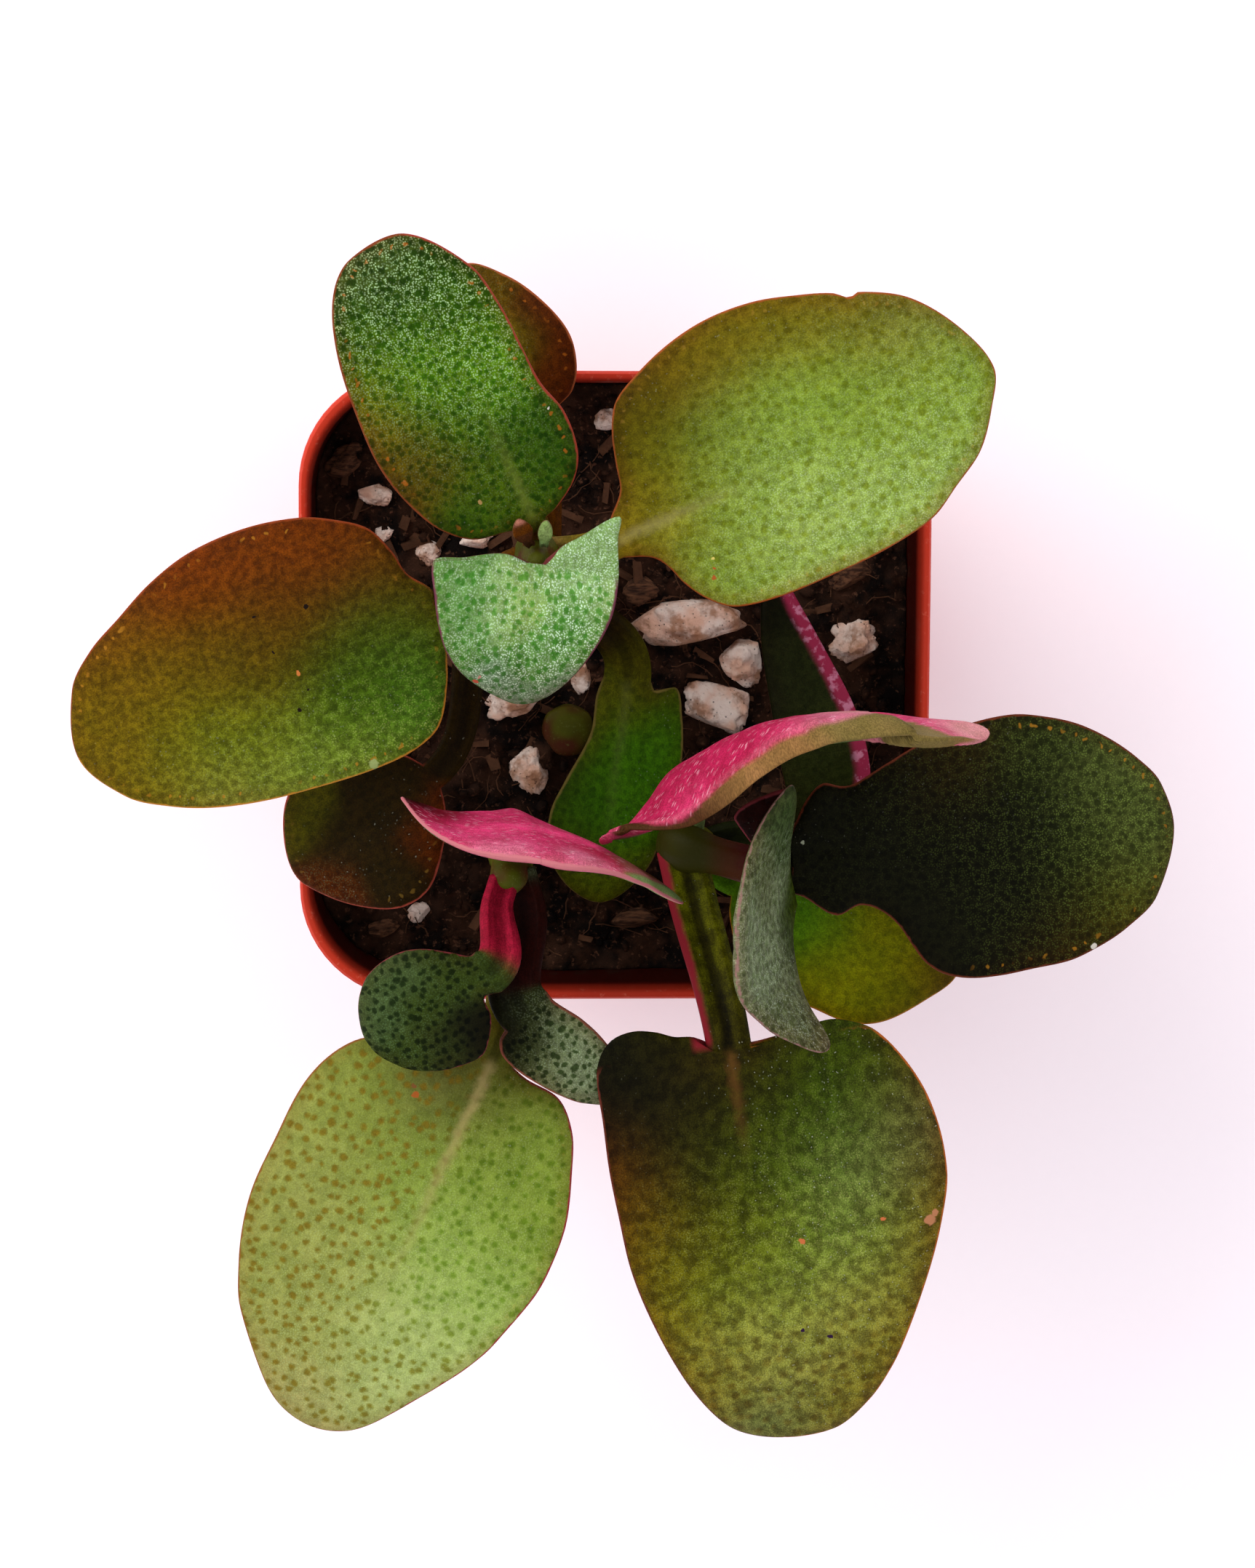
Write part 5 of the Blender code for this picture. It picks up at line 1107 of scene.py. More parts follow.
WASHES = {
    "leaf_a_top_back": """
        -0.2 0 russet, 0.06 0.6 bottle, 0.13 -0.4 bottle, 0.16 0.1 gold_green 0.1, 0.32 0.95 russet_olive,
        0.36 0.7 dark_olive 0.1, 0.28 -0.3 bottle 0.1, 0.47 0.34 bright_green 0.35, 0.52 -0.2 vivid_green 0.6,
        0.48 0.95 tawny 0.1, 0.62 0.45 vivid_green 0.5, 0.66 -0.1 bright_green 0.8, 0.63 0.95 olive 0.4,
        0.77 0.6 bottle 0.75, 0.84 0 bottle 0.85, 0.96 0.3 dark_moss 0.75""",
    "leaf_a_top_front": """
        -0.15 0.5 mint 0.8, 0.05 0.1 mint 0.8, 0.1 -0.8 sea 0.4, 0.1 0.7 mint 0.8, 0.25 -0.3 mint 0.6,
        0.24 -0.1 lime 0.4, 0.3 -0.7 sea 0.35, 0.35 0.3 sea 0.9, 0.4 0.75 sea 0.8, 0.52 -0.7 sea 0.6,
        0.55 0.1 sea 0.9, 0.8 -0.3 dusk_green 0.9, 0.8 0.4 dusk_green 0.8, 0.97 0 dusk_green 0.5""",
    "leaf_a_mid_left": """
        -0.2 0 russet, 0.03 -0.1 dark_olive, 0.08 -0.4 dark_rust, 0.1 0.1 leaf_green 0.2,
        0.15 0.5 leaf_green 0.5, 0.2 0 deep_moss 0.1, 0.22 -0.8 rust, 0.28 0.3 bright_green 0.2,
        0.3 0.02 deep_moss 0.1, 0.3 0.7 moss 0.7, 0.32 -0.4 dark_rust, 0.4 -0.85 rust, 0.44 -0.2 russet_olive,
        0.45 0.6 moss 0.4, 0.55 0.3 olive 0.2, 0.6 -0.85 rust, 0.6 -0.25 russet_olive, 0.66 0.6 pale_olive 0.4,
        0.7 0.2 olive 0.1, 0.75 -0.25 tawny, 0.8 -0.6 russet, 0.8 0.45 brown_olive 0.1, 0.85 0.1 tawny,
        0.92 -0.2 tawny""",
    "leaf_a_mid_right": """
        -0.3 0 straw, 0 0 ochre, 0.05 0.3 russet_olive, 0.1 0.05 ochre, 0.12 0.55 dark_olive,
        0.16 -0.3 moss 0.1, 0.2 0.8 russet_olive, 0.2 -0.6 fresh 0.2, 0.2 0.25 olive, 0.3 -0.1 fresh 0.3,
        0.33 -0.65 spring 0.4, 0.34 0.9 tawny, 0.36 0.3 moss 0.1, 0.42 -0.15 spring 0.5, 0.45 0.9 brown_olive,
        0.5 -0.6 spring 0.5, 0.5 0.3 fresh 0.2, 0.6 0.85 brown_olive, 0.65 0.25 fresh 0.1, 0.68 -0.5 spring 0.6,
        0.73 0.68 brown_olive 0.1, 0.78 0 fresh 0.4, 0.8 -0.4 spring 0.5, 0.85 0.4 pale_olive 0.1,
        0.92 0 fresh 0.3""",
    "leaf_a_low_back": """
        -0.3 0 dark_rust, 0.2 -0.4 chestnut, 0.4 -0.7 chestnut, 0.5 -0.2 brown_olive 0.1, 0.6 -0.6 chestnut,
        0.6 0.6 chestnut, 0.82 -0.2 russet_olive 0.1""",
    # The dark umber and chestnut washes of this low leaf are its own colour and painted shade from the leaves
    # above.
    "leaf_a_low_left": """
        -0.3 0 umber, 0.2 0.5 chestnut, 0.3 0 umber, 0.5 0.6 umber, 0.7 0 umber, 0.8 -0.5 dark_olive,
        0.86 0.3 chestnut 0.1""",
    "leaf_a_low_front": """
        -0.3 0 umber, -0.05 0 dark_olive, 0.03 0.4 dark_olive, 0.08 -0.2 shade_olive, 0.16 0.7 shade_bright,
        0.24 -0.7 shade_olive, 0.32 0 shade_bright, 0.4 0.6 shade_bright, 0.45 -0.6 bottle, 0.5 0 shade_bright,
        0.65 0.3 shade_bright, 0.7 -0.5 bottle, 0.84 0.5 shade_olive, 0.86 -0.5 shade_olive""",
    "leaf_b_mid_back": """
        -0.1 0.65 dark_red, 0.1 0.75 dark_red, 0.45 0.7 dark_red, 0.55 0.8 dark_red, 0.7 0.85 dark_red,
        0.45 0.5 wine, 0.6 0.62 crimson, 0.78 0.6 rose, 0.5 0.33 magenta, 0.64 0.36 hot_pink, 0.4 0.1 magenta,
        0.6 0.15 hot_pink, 0.8 0.2 rose, 0.57 -0.1 hot_pink, 0.75 -0.1 magenta, 0.95 -0.05 rose, 0.96 0.18 pink,
        0.35 -0.35 magenta, 0.55 -0.35 hot_pink, 0.8 -0.35 crimson, 0.92 -0.25 pink, 0.5 -0.65 wine,
        0.6 -0.8 dark_rust, 0.75 -0.6 dusty_rose""",
    "leaf_b_mid_front": """
        -0.3 0 burnt, -0.1 0 tawny, -0.02 0 shade_green, 0.05 0.1 shade_green 0.1, 0.08 0.5 pale_green 0.1,
        0.12 -0.8 sallow 0.1, 0.12 -0.2 dusty_olive, 0.18 0.7 pale_green 0.2, 0.2 -0.92 hay,
        0.22 0.13 pale_green 0.2, 0.25 -0.5 sallow 0.1, 0.32 -0.15 pale_green 0.2, 0.32 0.5 pale_green 0.2,
        0.38 -0.55 hay 0.2, 0.38 -0.95 hay 0.1, 0.43 0.13 spring 0.3, 0.52 0.5 spring 0.4, 0.55 -0.28 hay 0.3,
        0.55 -0.9 hay 0.1, 0.65 0.13 cream_green 0.4, 0.72 0.53 cream_green 0.6, 0.73 -0.3 hay 0.4,
        0.75 -0.72 hay 0.2, 0.86 0.27 cream_green 0.5, 0.92 -0.4 blush 0.3, 0.97 0 blush 0.3""",
    "leaf_b_top_left": """
        -0.4 0 garnet, 0.16 -0.1 teal 0.2, 0.24 -0.55 teal 0.3, 0.28 0.45 ink, 0.43 -0.65 slate_green 0.3,
        0.47 -0.1 teal 0.3, 0.51 0.4 char_green 0.1, 0.7 -0.7 slate_green 0.6, 0.77 0.34 teal 0.4,
        0.8 -0.25 slate_green 0.5""",
    "leaf_b_top_right": """
        -0.4 0 dark_red, 0.04 -0.6 ink, 0.12 0.1 char_green 0.2, 0.2 -0.6 char_green 0.1,
        0.26 0.4 grey_teal 0.5, 0.4 -0.5 grey_olive 0.4, 0.52 0.4 grey_teal 0.7, 0.53 -0.13 grey_teal 0.5,
        0.75 -0.1 grey_teal 0.6""",
    "leaf_c_mid_back": """
        -0.1 0.2 deep_magenta, 0.15 0.55 deep_magenta, 0.15 0.9 rose, 0.3 0.85 deep_magenta,
        0.35 0.5 deep_magenta, 0.45 0.7 magenta, 0.5 0.3 deep_magenta, 0.62 0.5 deep_magenta,
        0.7 0.2 deep_magenta, 0.8 0.3 magenta, 0.84 0.08 pink, 0.6 -0.1 magenta, 0.8 -0.15 salmon,
        0.7 -0.4 magenta, 0.85 -0.45 rose, 0.75 -0.75 rose, 0.9 -0.8 salmon""",
    # The ink, umber and shadow olive washes near the base are the leaf's own dark colour and painted shade as
    # well.
    "leaf_c_mid_front": """
        -0.4 0 stalk_olive, -0.15 0 stalk_olive, -0.02 -0.4 ink, -0.03 0.12 umber, 0 -0.1 umber,
        0.02 0.6 deep_moss 0.1, 0.05 0.27 shadow_olive, 0.08 0.85 dark_olive, 0.1 0.5 bottle 0.1,
        0.12 -0.65 ink, 0.14 -0.3 ink, 0.18 -0.05 shadow_olive, 0.2 0.2 deep_moss 0.1,
        0.22 0.85 dusty_olive 0.2, 0.24 0.53 gold_green 0.2, 0.28 -0.7 dark_rust, 0.3 -0.3 shadow_olive 0.1,
        0.3 0 deep_moss 0.15, 0.32 0.3 gold_green 0.3, 0.33 0.55 grey_leaf 0.5, 0.38 0.93 russet_olive 0.1,
        0.43 -0.6 tawny 0.1, 0.43 -0.2 dark_olive 0.3, 0.43 0.05 olive 0.3, 0.44 0.38 bright_leaf 0.8,
        0.5 0.7 moss 0.4, 0.53 0.93 russet 0.1, 0.55 -0.3 olive 0.3, 0.58 0.1 moss 0.4, 0.62 -0.6 tawny 0.1,
        0.65 0.45 lit_olive 0.4, 0.7 -0.1 lit_olive 0.4, 0.72 0.75 brown_olive 0.2, 0.8 0.2 lit_olive 0.4,
        0.82 -0.35 brown_olive 0.3, 0.86 0.5 brown_olive 0.2, 0.96 0.27 brown_olive 0.3,
        0.96 -0.05 grey_leaf 0.3""",
    "leaf_c_top_right": """
        -0.3 0 dark_red, 0.06 0.25 ink, 0.14 -0.16 ink 0.05, 0.26 0.5 ink 0.1, 0.3 -0.5 ink, 0.4 0.7 umber 0.1,
        0.45 0 ink 0.15, 0.6 0.2 ink 0.2, 0.6 -0.4 ink 0.15, 0.65 0.72 char_green 0.3, 0.75 -0.8 umber 0.2,
        0.75 -0.1 char_green 0.45, 0.81 0.5 tip_green 0.5, 0.9 -0.56 dark_olive 0.4, 0.92 0.2 tip_green 0.7,
        0.96 -0.25 tip_green 0.6""",
    "leaf_c_top_left": """
        0.12 0.05 deep_moss, 0.24 0.03 teal 0.1, 0.26 0.3 teal 0.2, 0.36 -0.2 grey_teal 0.4,
        0.34 -0.53 slate_green 0.3, 0.36 -0.82 slate_green, 0.36 0.67 grey_olive 0.3, 0.42 0.45 grey_olive 0.4,
        0.45 0.82 dusty_olive 0.5, 0.55 -0.3 grey_olive 0.3, 0.6 0.67 grey_olive 0.6, 0.65 0.16 grey_teal 0.5,
        0.85 0 grey_teal 0.5""",
    "leaf_c_low_right": """
        0.2 0 sunlit_green, 0.43 0 sunlit_green, 0.55 -0.35 sunlit_gold, 0.57 0.1 sunlit_gold,
        0.6 0.5 sunlit_gold, 0.72 0.1 sunlit_gold, 0.82 -0.4 sunlit_olive, 0.9 0 russet_olive""",
    "leaf_c_low_back": """
        0.2 0 char_green, 0.45 -0.3 char_green, 0.55 0.3 ink, 0.6 0 char_green, 0.8 0 ink""",
    "young_leaf_c": "0.2 0 dark_red, 0.7 0 dark_red",
    "bud_leaf_left": "0.2 0 burnt, 0.7 0 dark_rust, 1 0 tan_rose",
    "bud_leaf_right": "0.5 0 mint 0.2",
}

# %% [markdown]
# ## Blending the washes
# The palette is picked under the picture's own light, so it is divided by that light. Two leaves curl
# over: past a fold line near the tip's edge they show their upper face, behind a crest of painted highlight.

# %% Blending
LIGHT = 1.3
WASH_REACH, FINE_REACH, FAR_SHARE = 0.13, 0.09, 1e-7
FOLD_BLEND, CREST_SHARE, CREST_PLACE, CREST_WIDTH = 0.5, 0.35, 0.3, 0.5
UPPER_START, UPPER_BLEND = 1.5, 2.0
FOLDS = {
    "leaf_b_mid_back": (
        "-13.5 9.8, -12.9 10.3, -11.5 11.6, -10 13.4, -8.2 14.9, -7.2 15.9, -6 18.2",
        "-13.5 sea_grey, -8 sea_grey, -7 tan"),
    "leaf_c_mid_back": (
        """-10.2 24.8, -7.7 24.6, -7.1 19.5, -5 20, -3 21.5, -1.4 22.7, -0.2 22.4, 1.7 22, 3.7 20.9, 5.1 19,
        6.2 17.8, 7.3 16.1, 8.4 14.2, 9.4 12.4, 10.5 10.6, 12 7.3, 13.5 5.2""",
        "-10 amber, -6 sand, 2 sand, 4.5 amber, 7.5 amber, 10 burnt, 14 burnt"),
}
shades = {name: np.array(shade) / LIGHT for name, *shade in PALETTE}


def spread_washes(washes, blade, a, w, reach):
    """The blend of the washes at each point, and the bloom there."""
    weights, colour, bloom = 1e-9, 0.0, 0.0
    for along, across, name, *waxy in rows_of(washes):
        distance = (a - along * blade.length) ** 2 + (w - across * blade.half) ** 2
        weight = np.exp(-distance / (reach * blade.length) ** 2) + FAR_SHARE / (1 + distance)
        weights = weights + weight
        colour = colour + weight[..., None] * shades[name]
        bloom = bloom + weight * sum(waxy)
    return colour / weights[..., None], bloom / weights


def blend(colour, other, share):
    """The other colour over this one, where share is 1."""
    share = share[..., None]
    return colour * (1 - share) + other * share


def paint_fold(colour, fold, a, w):
    """The curled leaf's crest of painted highlight, the upper face behind it, and what shows past the fold line.
    """
    line, tints = (rows_of(text) for text in fold)
    past = a - np.interp(w, *zip(*line))
    # Painted highlight along the ridge just before the fold line.
    colour = blend(colour, shades["crest"], CREST_SHARE * np.exp(-((past + CREST_PLACE) / CREST_WIDTH) ** 2))
    upper = (1 - UNDERNEATH) * np.clip((-past - UPPER_START) / UPPER_BLEND, 0, 1)
    colour = blend(colour, shades["grey_leaf"], upper)
    places, names = zip(*tints)
    channels = np.array([shades[name] for name in names]).T
    other = np.stack([np.interp(w, places, channel) for channel in channels], axis=-1)
    return blend(colour, other, np.clip(past / FOLD_BLEND, 0, 1))

# %% [markdown]
# ## The leaves' finish
# One finish serves all leaves, with a few numbers for each. Over the washes it lays, from large to
# small: darker dots about a millimetre apart, a net of pale waxy grains between them, a fine grain,
# painted glints, small pits with painted shade in their dents and a painted glint in each, the beads
# of water pores along the margin, the coloured margin line and the faint midrib. The back is wine red.
# All patterns follow the leaf's own measures in millimetres.

# %% Leaf finish
SHINE, LEAF_SPECULAR, RELIEF = 0.55, 0.035, 0.10
# WINE is the back's red, and the other colour is the pale green of painted glints.
WINE, GLINT = (0.20, 0.016, 0.04), (0.42, 0.44, 0.34)


def lay_dots(skin, bent, here, places, dots, dot_tint, dot_pace, dot_size, dot_blur, brown, eyes):
    """Darker dots in the upper face, which brown gives a rusty shade to one side of a line."""
    along, beside, top, cloud, on_top = places
    gap = skin.cells(bent, dot_pace, 0.75)
    size = skin.noise(here, 0.55, 2).ramp(0.35, 0.65, dot_size - 0.07, dot_size + 0.07)
    dot = (size - gap).ramp(-dot_blur, dot_blur) * on_top
    skin.tint(dot * dots, dot_tint)
    if brown:
        shade, start, end, strength = brown
        rusty = skin.math("MAXIMUM", (beside + cloud * 6).ramp(start, end), along.ramp(20, 30, 0, 0.8))
        skin.paint(dot * rusty * strength, shade)
    if eyes:
        skin.tint(gap.ramp(0.14, 0.05) * top * eyes, (2.2, 2.0, 2.0))
    return dot


def lay_dashes(skin, here, dashes):
    """Pale dashes, blots and streaks where the wash is red."""
    red, leafy, _ = skin.parts(skin.mark("wash", "Color"))
    rosy = (red - leafy * 3).ramp(0, 0.15)
    dash = skin.cells(skin.stretch(here, (2.6, 0.75, 1), turn=0.25), 1).ramp(0.22, 0.08)
    skin.paint(dash * skin.noise(here, 0.5, 2).ramp(0.44, 0.60) * rosy * dashes, (0.80, 0.42, 0.50))
    skin.paint(skin.cells(here, 0.8).ramp(0.20, 0.08) * rosy * 0.12, (0.85, 0.40, 0.50))
    streaky = skin.noise(skin.stretch(here, (2.4, 0.8, 1)), 1, 4, 0.65).ramp(0.4, 0.62)
    skin.tint(streaky * rosy * 0.5, (0.68, 0.40, 0.55))


def lay_beads(skin, here, along, edge, arc, on_top, bead, beads, bead_start):
    """The row of water pores a little inside the margin, about 1.3 mm apart."""
    pace = skin.math("DIVIDE", arc, 1.3) + skin.noise(here, 0.7) * 1.6
    beat = (skin.math("FRACT", pace) - 0.5) * 1.3
    inset = edge + skin.noise(here, 0.9) * 0.7 - 1.25
    pore = (beat * beat + inset * inset).ramp(0.045, 0.008) * on_top
    pore = pore * skin.noise(here, 0.22, 1).ramp(0.42, 0.55) * along.ramp(bead_start, bead_start + 3)
    skin.paint(pore * beads, bead)


def leaf_finish(name, seed, margin=(0.28, 0.07, 0.02), left_margin=None, margin_width=0.17, rim_shade=0.45,
                bead=(0.42, 0.26, 0.04), beads=0, bead_start=0, under=WINE, dots=0.5,
                dot_tint=(0.42, 0.52, 0.30), dot_pace=1.15, dot_size=0.28, dot_blur=0.10, eyes=0, brown=None,
                wax=(0.25, 0.36, 0.16), pits=0, rib=0, rib_reach=20, rib_colour=(0.26, 0.28, 0.07),
                groove=0.5, stalk_edge=None, dashes=0, glints=0.12, mottles=0.5, mottle_pace=1.5,
                grainy=0.5, scars=()):
    """The material for one leaf."""
    skin = Finish(name, SHINE, LEAF_SPECULAR)
    along, beside, below = skin.parts(skin.mark("spot"))
    edge, arc, bloom = skin.parts(skin.mark("rim"))
    here = skin.node("CombineXYZ", X=along + seed * 40, Y=beside, Z=below * 60)
    shift = skin.node("TexNoise", "Color", Vector=here, Scale=1.9, Detail=3)
    bent = skin.node("VectorMath", settings={"operation": "MULTIPLY_ADD"}, Vector=shift,
                     Vector_001=(0.5, 0.5, 0), Vector_002=here)
    cloud = skin.noise(here, 0.45, 4, 0.6)
    top, blade = 1 - below, along.ramp(-0.5, 0.8)
    on_top, stalk = top * blade, 1 - blade
    skin.tone = skin.mark("wash", "Color")
    skin.tint(cloud.ramp(0.35, 0.65), (0.78, 0.82, 0.72))
    dot = lay_dots(skin, bent, here, (along, beside, top, cloud, on_top), dots, dot_tint, dot_pace, dot_size,
                   dot_blur, brown, eyes)

    # the waxy bloom, the grain and the mottles
    waxy = skin.cells(here, 5.2).ramp(0.44, 0.20) * skin.noise(here, 1.1, 3, 0.6).ramp(0.36, 0.60, 0.25)
    waxy = waxy * bloom * (1 - dot)
    skin.paint(waxy, wax)
    grain = skin.noise(here, 7.5, 3, 0.6).ramp(0.35, 0.65)
    skin.tint(grainy, skin.mix(grain, (0.55, 0.55, 0.55), (1.55, 1.55, 1.55)))
    mottle = skin.noise(bent, mottle_pace, 4, 0.65).ramp(0.38, 0.62)
    skin.tint(mottles, skin.mix(mottle, (0.55, 0.52, 0.5), (1.3, 1.32, 1.3)))

    # painted glints on one side of the midrib, the midrib, and the pits with painted shade and painted glints
    glint = skin.cells(here, 1.5).ramp(0.12, 0.06) * skin.noise(here, 0.45, 2).ramp(0.54, 0.60)
    skin.paint(glint * on_top * beside.ramp(-1, 2, 0, glints), (0.40, 0.44, 0.34))
    vein = (abs(beside) + skin.noise(here, 1.2, 3)).ramp(1.4, 0.4) * along.ramp(rib_reach, 1)
    skin.paint(vein * on_top * rib, rib_colour)
    pit = skin.cells(bent, 0.85)
    keep = skin.noise(here, 0.4, 2).ramp(0.47, 0.56) * top * beside.ramp(-4, 2, 0.1 * pits, pits)
    ring = pit.ramp(0.22, 0.12) * keep
    # Painted shade darkens each pit's dent, and a painted glint lies in its middle, more of them on one side of
    # the midrib.
    skin.tint(ring * 0.6, (0.30, 0.28, 0.2))
    skin.paint(pit.ramp(0.055, 0.025) * keep, GLINT)
    if dashes:
        lay_dashes(skin, here, dashes)
    lay_beads(skin, here, along, edge, arc, on_top, bead, beads, bead_start)
    if under:
        skin.paint(below, skin.mix(cloud, under, (0.10, 0.05, 0.02)))

    # the shaded rim and the margin line, which is a broad band of two colours on one leaf
    skin.tint(edge.ramp(1.9, 0.2) * blade * rim_shade, (0.85, 0.55, 0.45))
    line = skin.mix(beside.ramp(-0.5, 0.5), margin, left_margin or margin)
    band = (edge + skin.noise(here, 1.3, 2) * 0.24).ramp(2 * margin_width, margin_width) * blade
    if margin_width > 0.5:
        band = band * beside.ramp(0.5, -0.5)
        line = skin.mix(skin.noise(here, 1.1, 3, 0.6).ramp(0.50, 0.64), line, (0.44, 0.15, 0.23))
    skin.paint(band, line)

    # the stalk's groove, fibres and red edge
    skin.tint(abs(beside).ramp(0.75, 0.2) * top * stalk * groove, (0.16, 0.13, 0.10))
    fibre = skin.noise(skin.stretch(here, (0.35, 3.5, 1)), 1, 3, 0.6).ramp(0.4, 0.65)
    skin.tint(fibre * stalk * 0.35, (0.5, 0.5, 0.45))
    if stalk_edge:
        side, shade = stalk_edge
        flush = (beside * side + cloud * 0.8).ramp(1.5, 2.1) * along.ramp(0, -1)
        skin.paint(flush * abs(beside).ramp(3.4, 2.6), shade)
    for scar_along, scar_beside, radius, shade in scars:
        middle = (scar_along + seed * 40 + 0.25, scar_beside + 0.25, 0)
        off = skin.node("VectorMath", "Value", {"operation": "DISTANCE"}, Vector=bent, Vector_001=middle)
        skin.paint(off.ramp(radius * 1.15, radius * 0.8), shade)
    relief = skin.noise(here, 2.4, 4, 0.6) * 0.7 - ring * 0.5 - dot * 0.25
    skin.close(relief, RELIEF, 0.6, (waxy + cloud * 0.3).ramp(0, 1, SHINE - 0.05, 0.72))
    return skin


# %% [markdown]
# ## The leaves
# Each leaf has its slot and what sets its finish apart: the colours of its margin, the size and pace
# of its dots, its midrib and its scars, with their places, radii and colours.

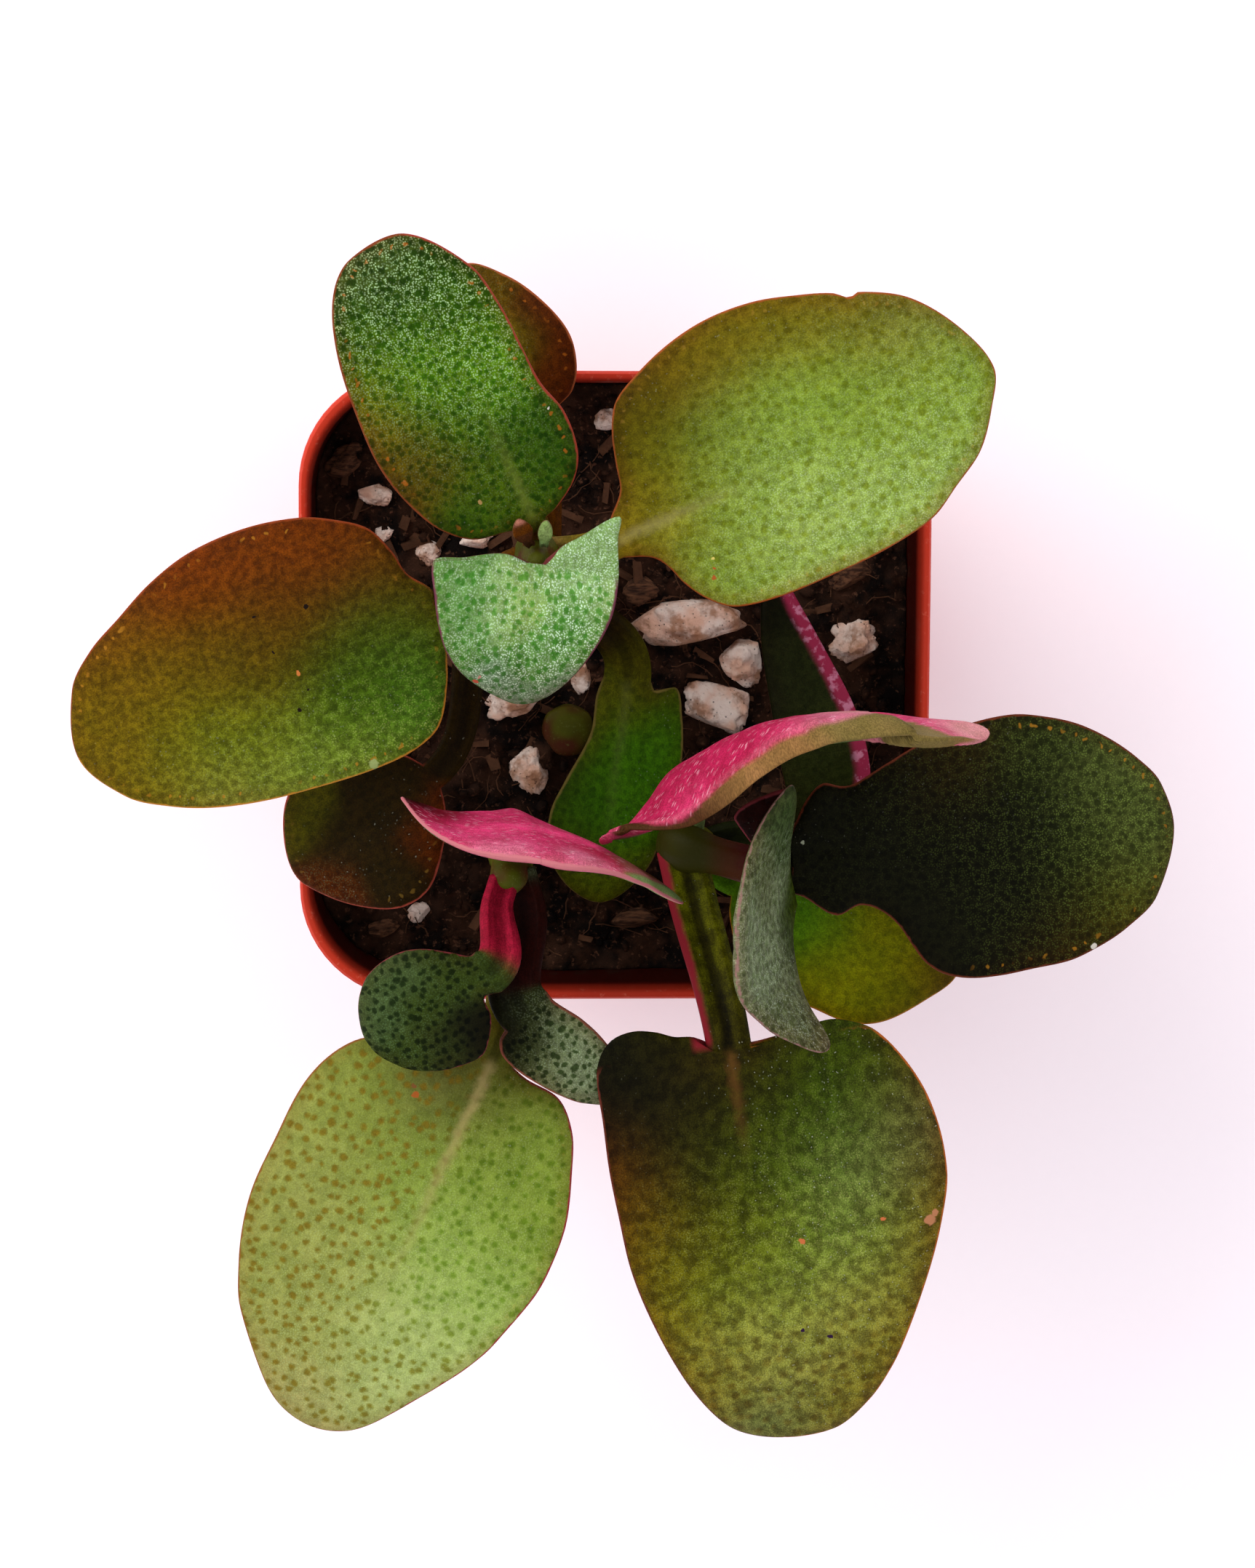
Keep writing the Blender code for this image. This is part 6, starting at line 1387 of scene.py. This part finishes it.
# %% Build the leaves
SCAR, CLAY, SOOT, CHALK = (0.36, 0.15, 0.07), (0.30, 0.08, 0.015), (0.008, 0.004, 0.003), (0.50, 0.46, 0.40)
TAWNY, VIOLET = (0.45, 0.12, 0.04), (0.02, 0.006, 0.03)
RED_BACK = dict(dots=0, dashes=0.6, mottles=0.15, glints=0, under=None)
SKINS = {
    "leaf_a_top_back": ("bloom_green", dict(
        margin=(0.26, 0.035, 0.02), left_margin=(0.16, 0.035, 0.01), bead=(0.42, 0.12, 0.012), beads=0.5,
        dots=0.75, dot_tint=(0.20, 0.46, 0.06), dot_pace=1.2, dot_size=0.27, dot_blur=0.13,
        wax=(0.32, 0.48, 0.24), rib=0.35, rib_colour=(0.17, 0.20, 0.03), rib_reach=14, rim_shade=0.6,
        pits=0.1, scars=((3.9, 3.4, 0.20, (0.30, 0.18, 0.06)), (8.6, -4.9, 0.13, CHALK)))),
    "leaf_a_top_front": ("glaucous", dict(
        margin=(0.12, 0.03, 0.05), dots=0.75, dot_tint=(0.20, 0.60, 0.08), dot_size=0.26, dot_blur=0.14,
        mottles=0.35, glints=0, grainy=0.3, wax=(0.48, 0.66, 0.46), rim_shade=0.2,
        scars=((10.0, -3.9, 0.26, (0.42, 0.08, 0.04)), (9.4, -3.7, 0.17, (0.44, 0.22, 0.16))))),
    "leaf_a_mid_left": ("rust_green", dict(
        margin=(0.20, 0.035, 0.008), left_margin=(0.40, 0.17, 0.02), bead=(0.40, 0.18, 0.015), beads=0.5,
        dots=0.38, dot_tint=(0.50, 0.50, 0.35), dot_size=0.34, mottles=0.7, wax=(0.22, 0.28, 0.06),
        pits=0.12, rim_shade=0.3,
        scars=((12.5, -0.3, 0.22, (0.42, 0.13, 0.03)), (9.9, -5.2, 0.17, SOOT), (13.8, -2.6, 0.13, SOOT),
               (13.5, 2.6, 0.18, SOOT), (14.1, -6.0, 0.12, SOOT), (12.2, 1.3, 0.11, SOOT),
               (9.5, 9.1, 0.42, (0.22, 0.27, 0.09))))),
    "leaf_a_mid_right": ("olive_green", dict(
        margin=(0.26, 0.06, 0.012), dots=0.7, dot_tint=(0.60, 0.58, 0.10), dot_pace=0.85, dot_size=0.22,
        dot_blur=0.15, eyes=0.12, mottles=0.45, grainy=0.4, wax=(0.38, 0.50, 0.24), rib=0.35,
        rib_colour=(0.34, 0.30, 0.12), rib_reach=15, rim_shade=0.55, beads=0.2, pits=0.12,
        scars=((6.2, -6.0, 0.18, CLAY), (6.8, -4.6, 0.14, (0.50, 0.42, 0.10)), (6.5, -5.4, 0.13, CLAY)))),
    "leaf_a_low_back": ("rust_brown", dict(bead=(0.40, 0.12, 0.01), beads=0.5, dots=0.4, pits=0.35)),
    "leaf_a_low_left": ("rust_brown", dict(margin=(0.30, 0.05, 0.03), dots=0.4, beads=0.2, pits=0.35)),
    "leaf_a_low_front": ("plain_green", dict(rib=0.1, margin=(0.12, 0.09, 0.02))),
    "leaf_b_mid_back": ("magenta_back", dict(margin=(0.46, 0.14, 0.16), rim_shade=0.2, **RED_BACK)),
    "leaf_b_mid_front": ("spotted_green", dict(
        margin=(0.20, 0.07, 0.015), left_margin=(0.26, 0.016, 0.03), dots=0.75, dot_tint=(0.42, 0.56, 0.10),
        dot_pace=0.86, dot_size=0.22, dot_blur=0.16, mottles=0.25, grainy=0.25,
        brown=((0.17, 0.10, 0.008), 5, -1, 0.7), wax=(0.36, 0.44, 0.17), rib=0.6,
        rib_colour=(0.34, 0.26, 0.10), rib_reach=26, rim_shade=0.35, beads=0.1, pits=0.2,
        stalk_edge=(1, (0.40, 0.07, 0.02)),
        scars=((5.2, -4.8, 0.28, CLAY), (4.6, -5.2, 0.22, (0.16, 0.07, 0.02))))),
    "leaf_b_top_left": ("dark_spotted", dict(
        margin=(0.16, 0.025, 0.03), margin_width=0.1, dots=0.85, dot_tint=(0.12, 0.20, 0.10), dot_pace=1.22,
        dot_size=0.29, dot_blur=0.13, mottles=0.35, glints=0, wax=(0.07, 0.12, 0.045))),
    "leaf_b_top_right": ("dark_spotted", dict(
        margin=(0.18, 0.05, 0.03), dots=0.9, dot_tint=(0.16, 0.24, 0.10), dot_pace=1.3,
        wax=(0.22, 0.27, 0.17))),
    "leaf_c_mid_back": ("magenta_back", dict(
        margin=(0.42, 0.20, 0.10), margin_width=0.02, rim_shade=0.1, **RED_BACK)),
    "leaf_c_mid_front": ("mottled_olive", dict(
        margin=(0.10, 0.02, 0.012), left_margin=(0.36, 0.09, 0.015), dots=0.25, dot_tint=(0.35, 0.30, 0.2),
        dot_pace=0.7, dot_size=0.24, dot_blur=0.16, brown=((0.085, 0.050, 0.003), -20, -30, 0.5),
        wax=(0.24, 0.26, 0.07), pits=0.5, glints=0.2, mottles=0.9, mottle_pace=0.8, grainy=0.65, rib=0.5,
        rib_colour=(0.13, 0.052, 0.012), rib_reach=11, groove=0.9, stalk_edge=(-1, (0.17, 0.010, 0.016)),
        scars=((17.5, 14.8, 0.5, SCAR), (16.9, 15.3, 0.35, SCAR), (17.5, 3.7, 0.25, TAWNY),
               (16.7, 10.8, 0.2, TAWNY), (27.2, 5.0, 0.26, VIOLET), (26.1, 2.7, 0.2, VIOLET)))),
    "leaf_c_top_right": ("dark_green", dict(
        margin=(0.10, 0.02, 0.008), dot_tint=(0.25, 0.28, 0.2), wax=(0.12, 0.17, 0.03), glints=0.05,
        bead=(0.30, 0.14, 0.01), beads=0.7, bead_start=14, pits=0.1,
        scars=((25.5, -9.4, 0.28, CHALK), (1.0, 0.7, 0.16, (0.24, 0.26, 0.18))))),
    "leaf_c_top_left": ("grey_green", dict(
        margin=(0.24, 0.12, 0.11), margin_width=0.1, wax=(0.30, 0.36, 0.26), glints=0.5, mottles=0.8,
        under=None)),
    "leaf_c_low_right": ("yellow_green", dict(margin=(0.30, 0.12, 0.01), dots=0.3)),
    "leaf_c_low_back": ("plain_green", dict(
        margin=(0.24, 0.018, 0.05), margin_width=0.85, dots=0.3, glints=0)),
    "young_leaf_c": ("dark_red_back", dict(margin=(0.20, 0.03, 0.04), under=None)),
    "bud_leaf_left": ("bark", dict(margin=(0.10, 0.06, 0.02), dots=0.2, margin_width=0.08)),
    "bud_leaf_right": ("glaucous", dict(margin=(0.14, 0.16, 0.06), dots=0.2, margin_width=0.08)),
}
for seed, (name, (slot, looks)) in enumerate(SKINS.items()):
    blade, points, a, w = leaf_sections(LEAVES[name], seed)
    reach = FINE_REACH if name in FOLDS else WASH_REACH
    colour, bloom = spread_washes(WASHES[name], blade, a, w, reach)
    if name in FOLDS:
        colour = paint_fold(colour, FOLDS[name], a, w)
    piece = rolled_skin(name + "_skin", points, {
        "spot": (a, w, UNDERNEATH), "rim": (*from_edge(blade, a, w), bloom),
        "wash": (*np.moveaxis(colour, -1, 0), 1)})
    dress(piece, leaf_finish(name + "_finish", seed, **looks), slot, name)
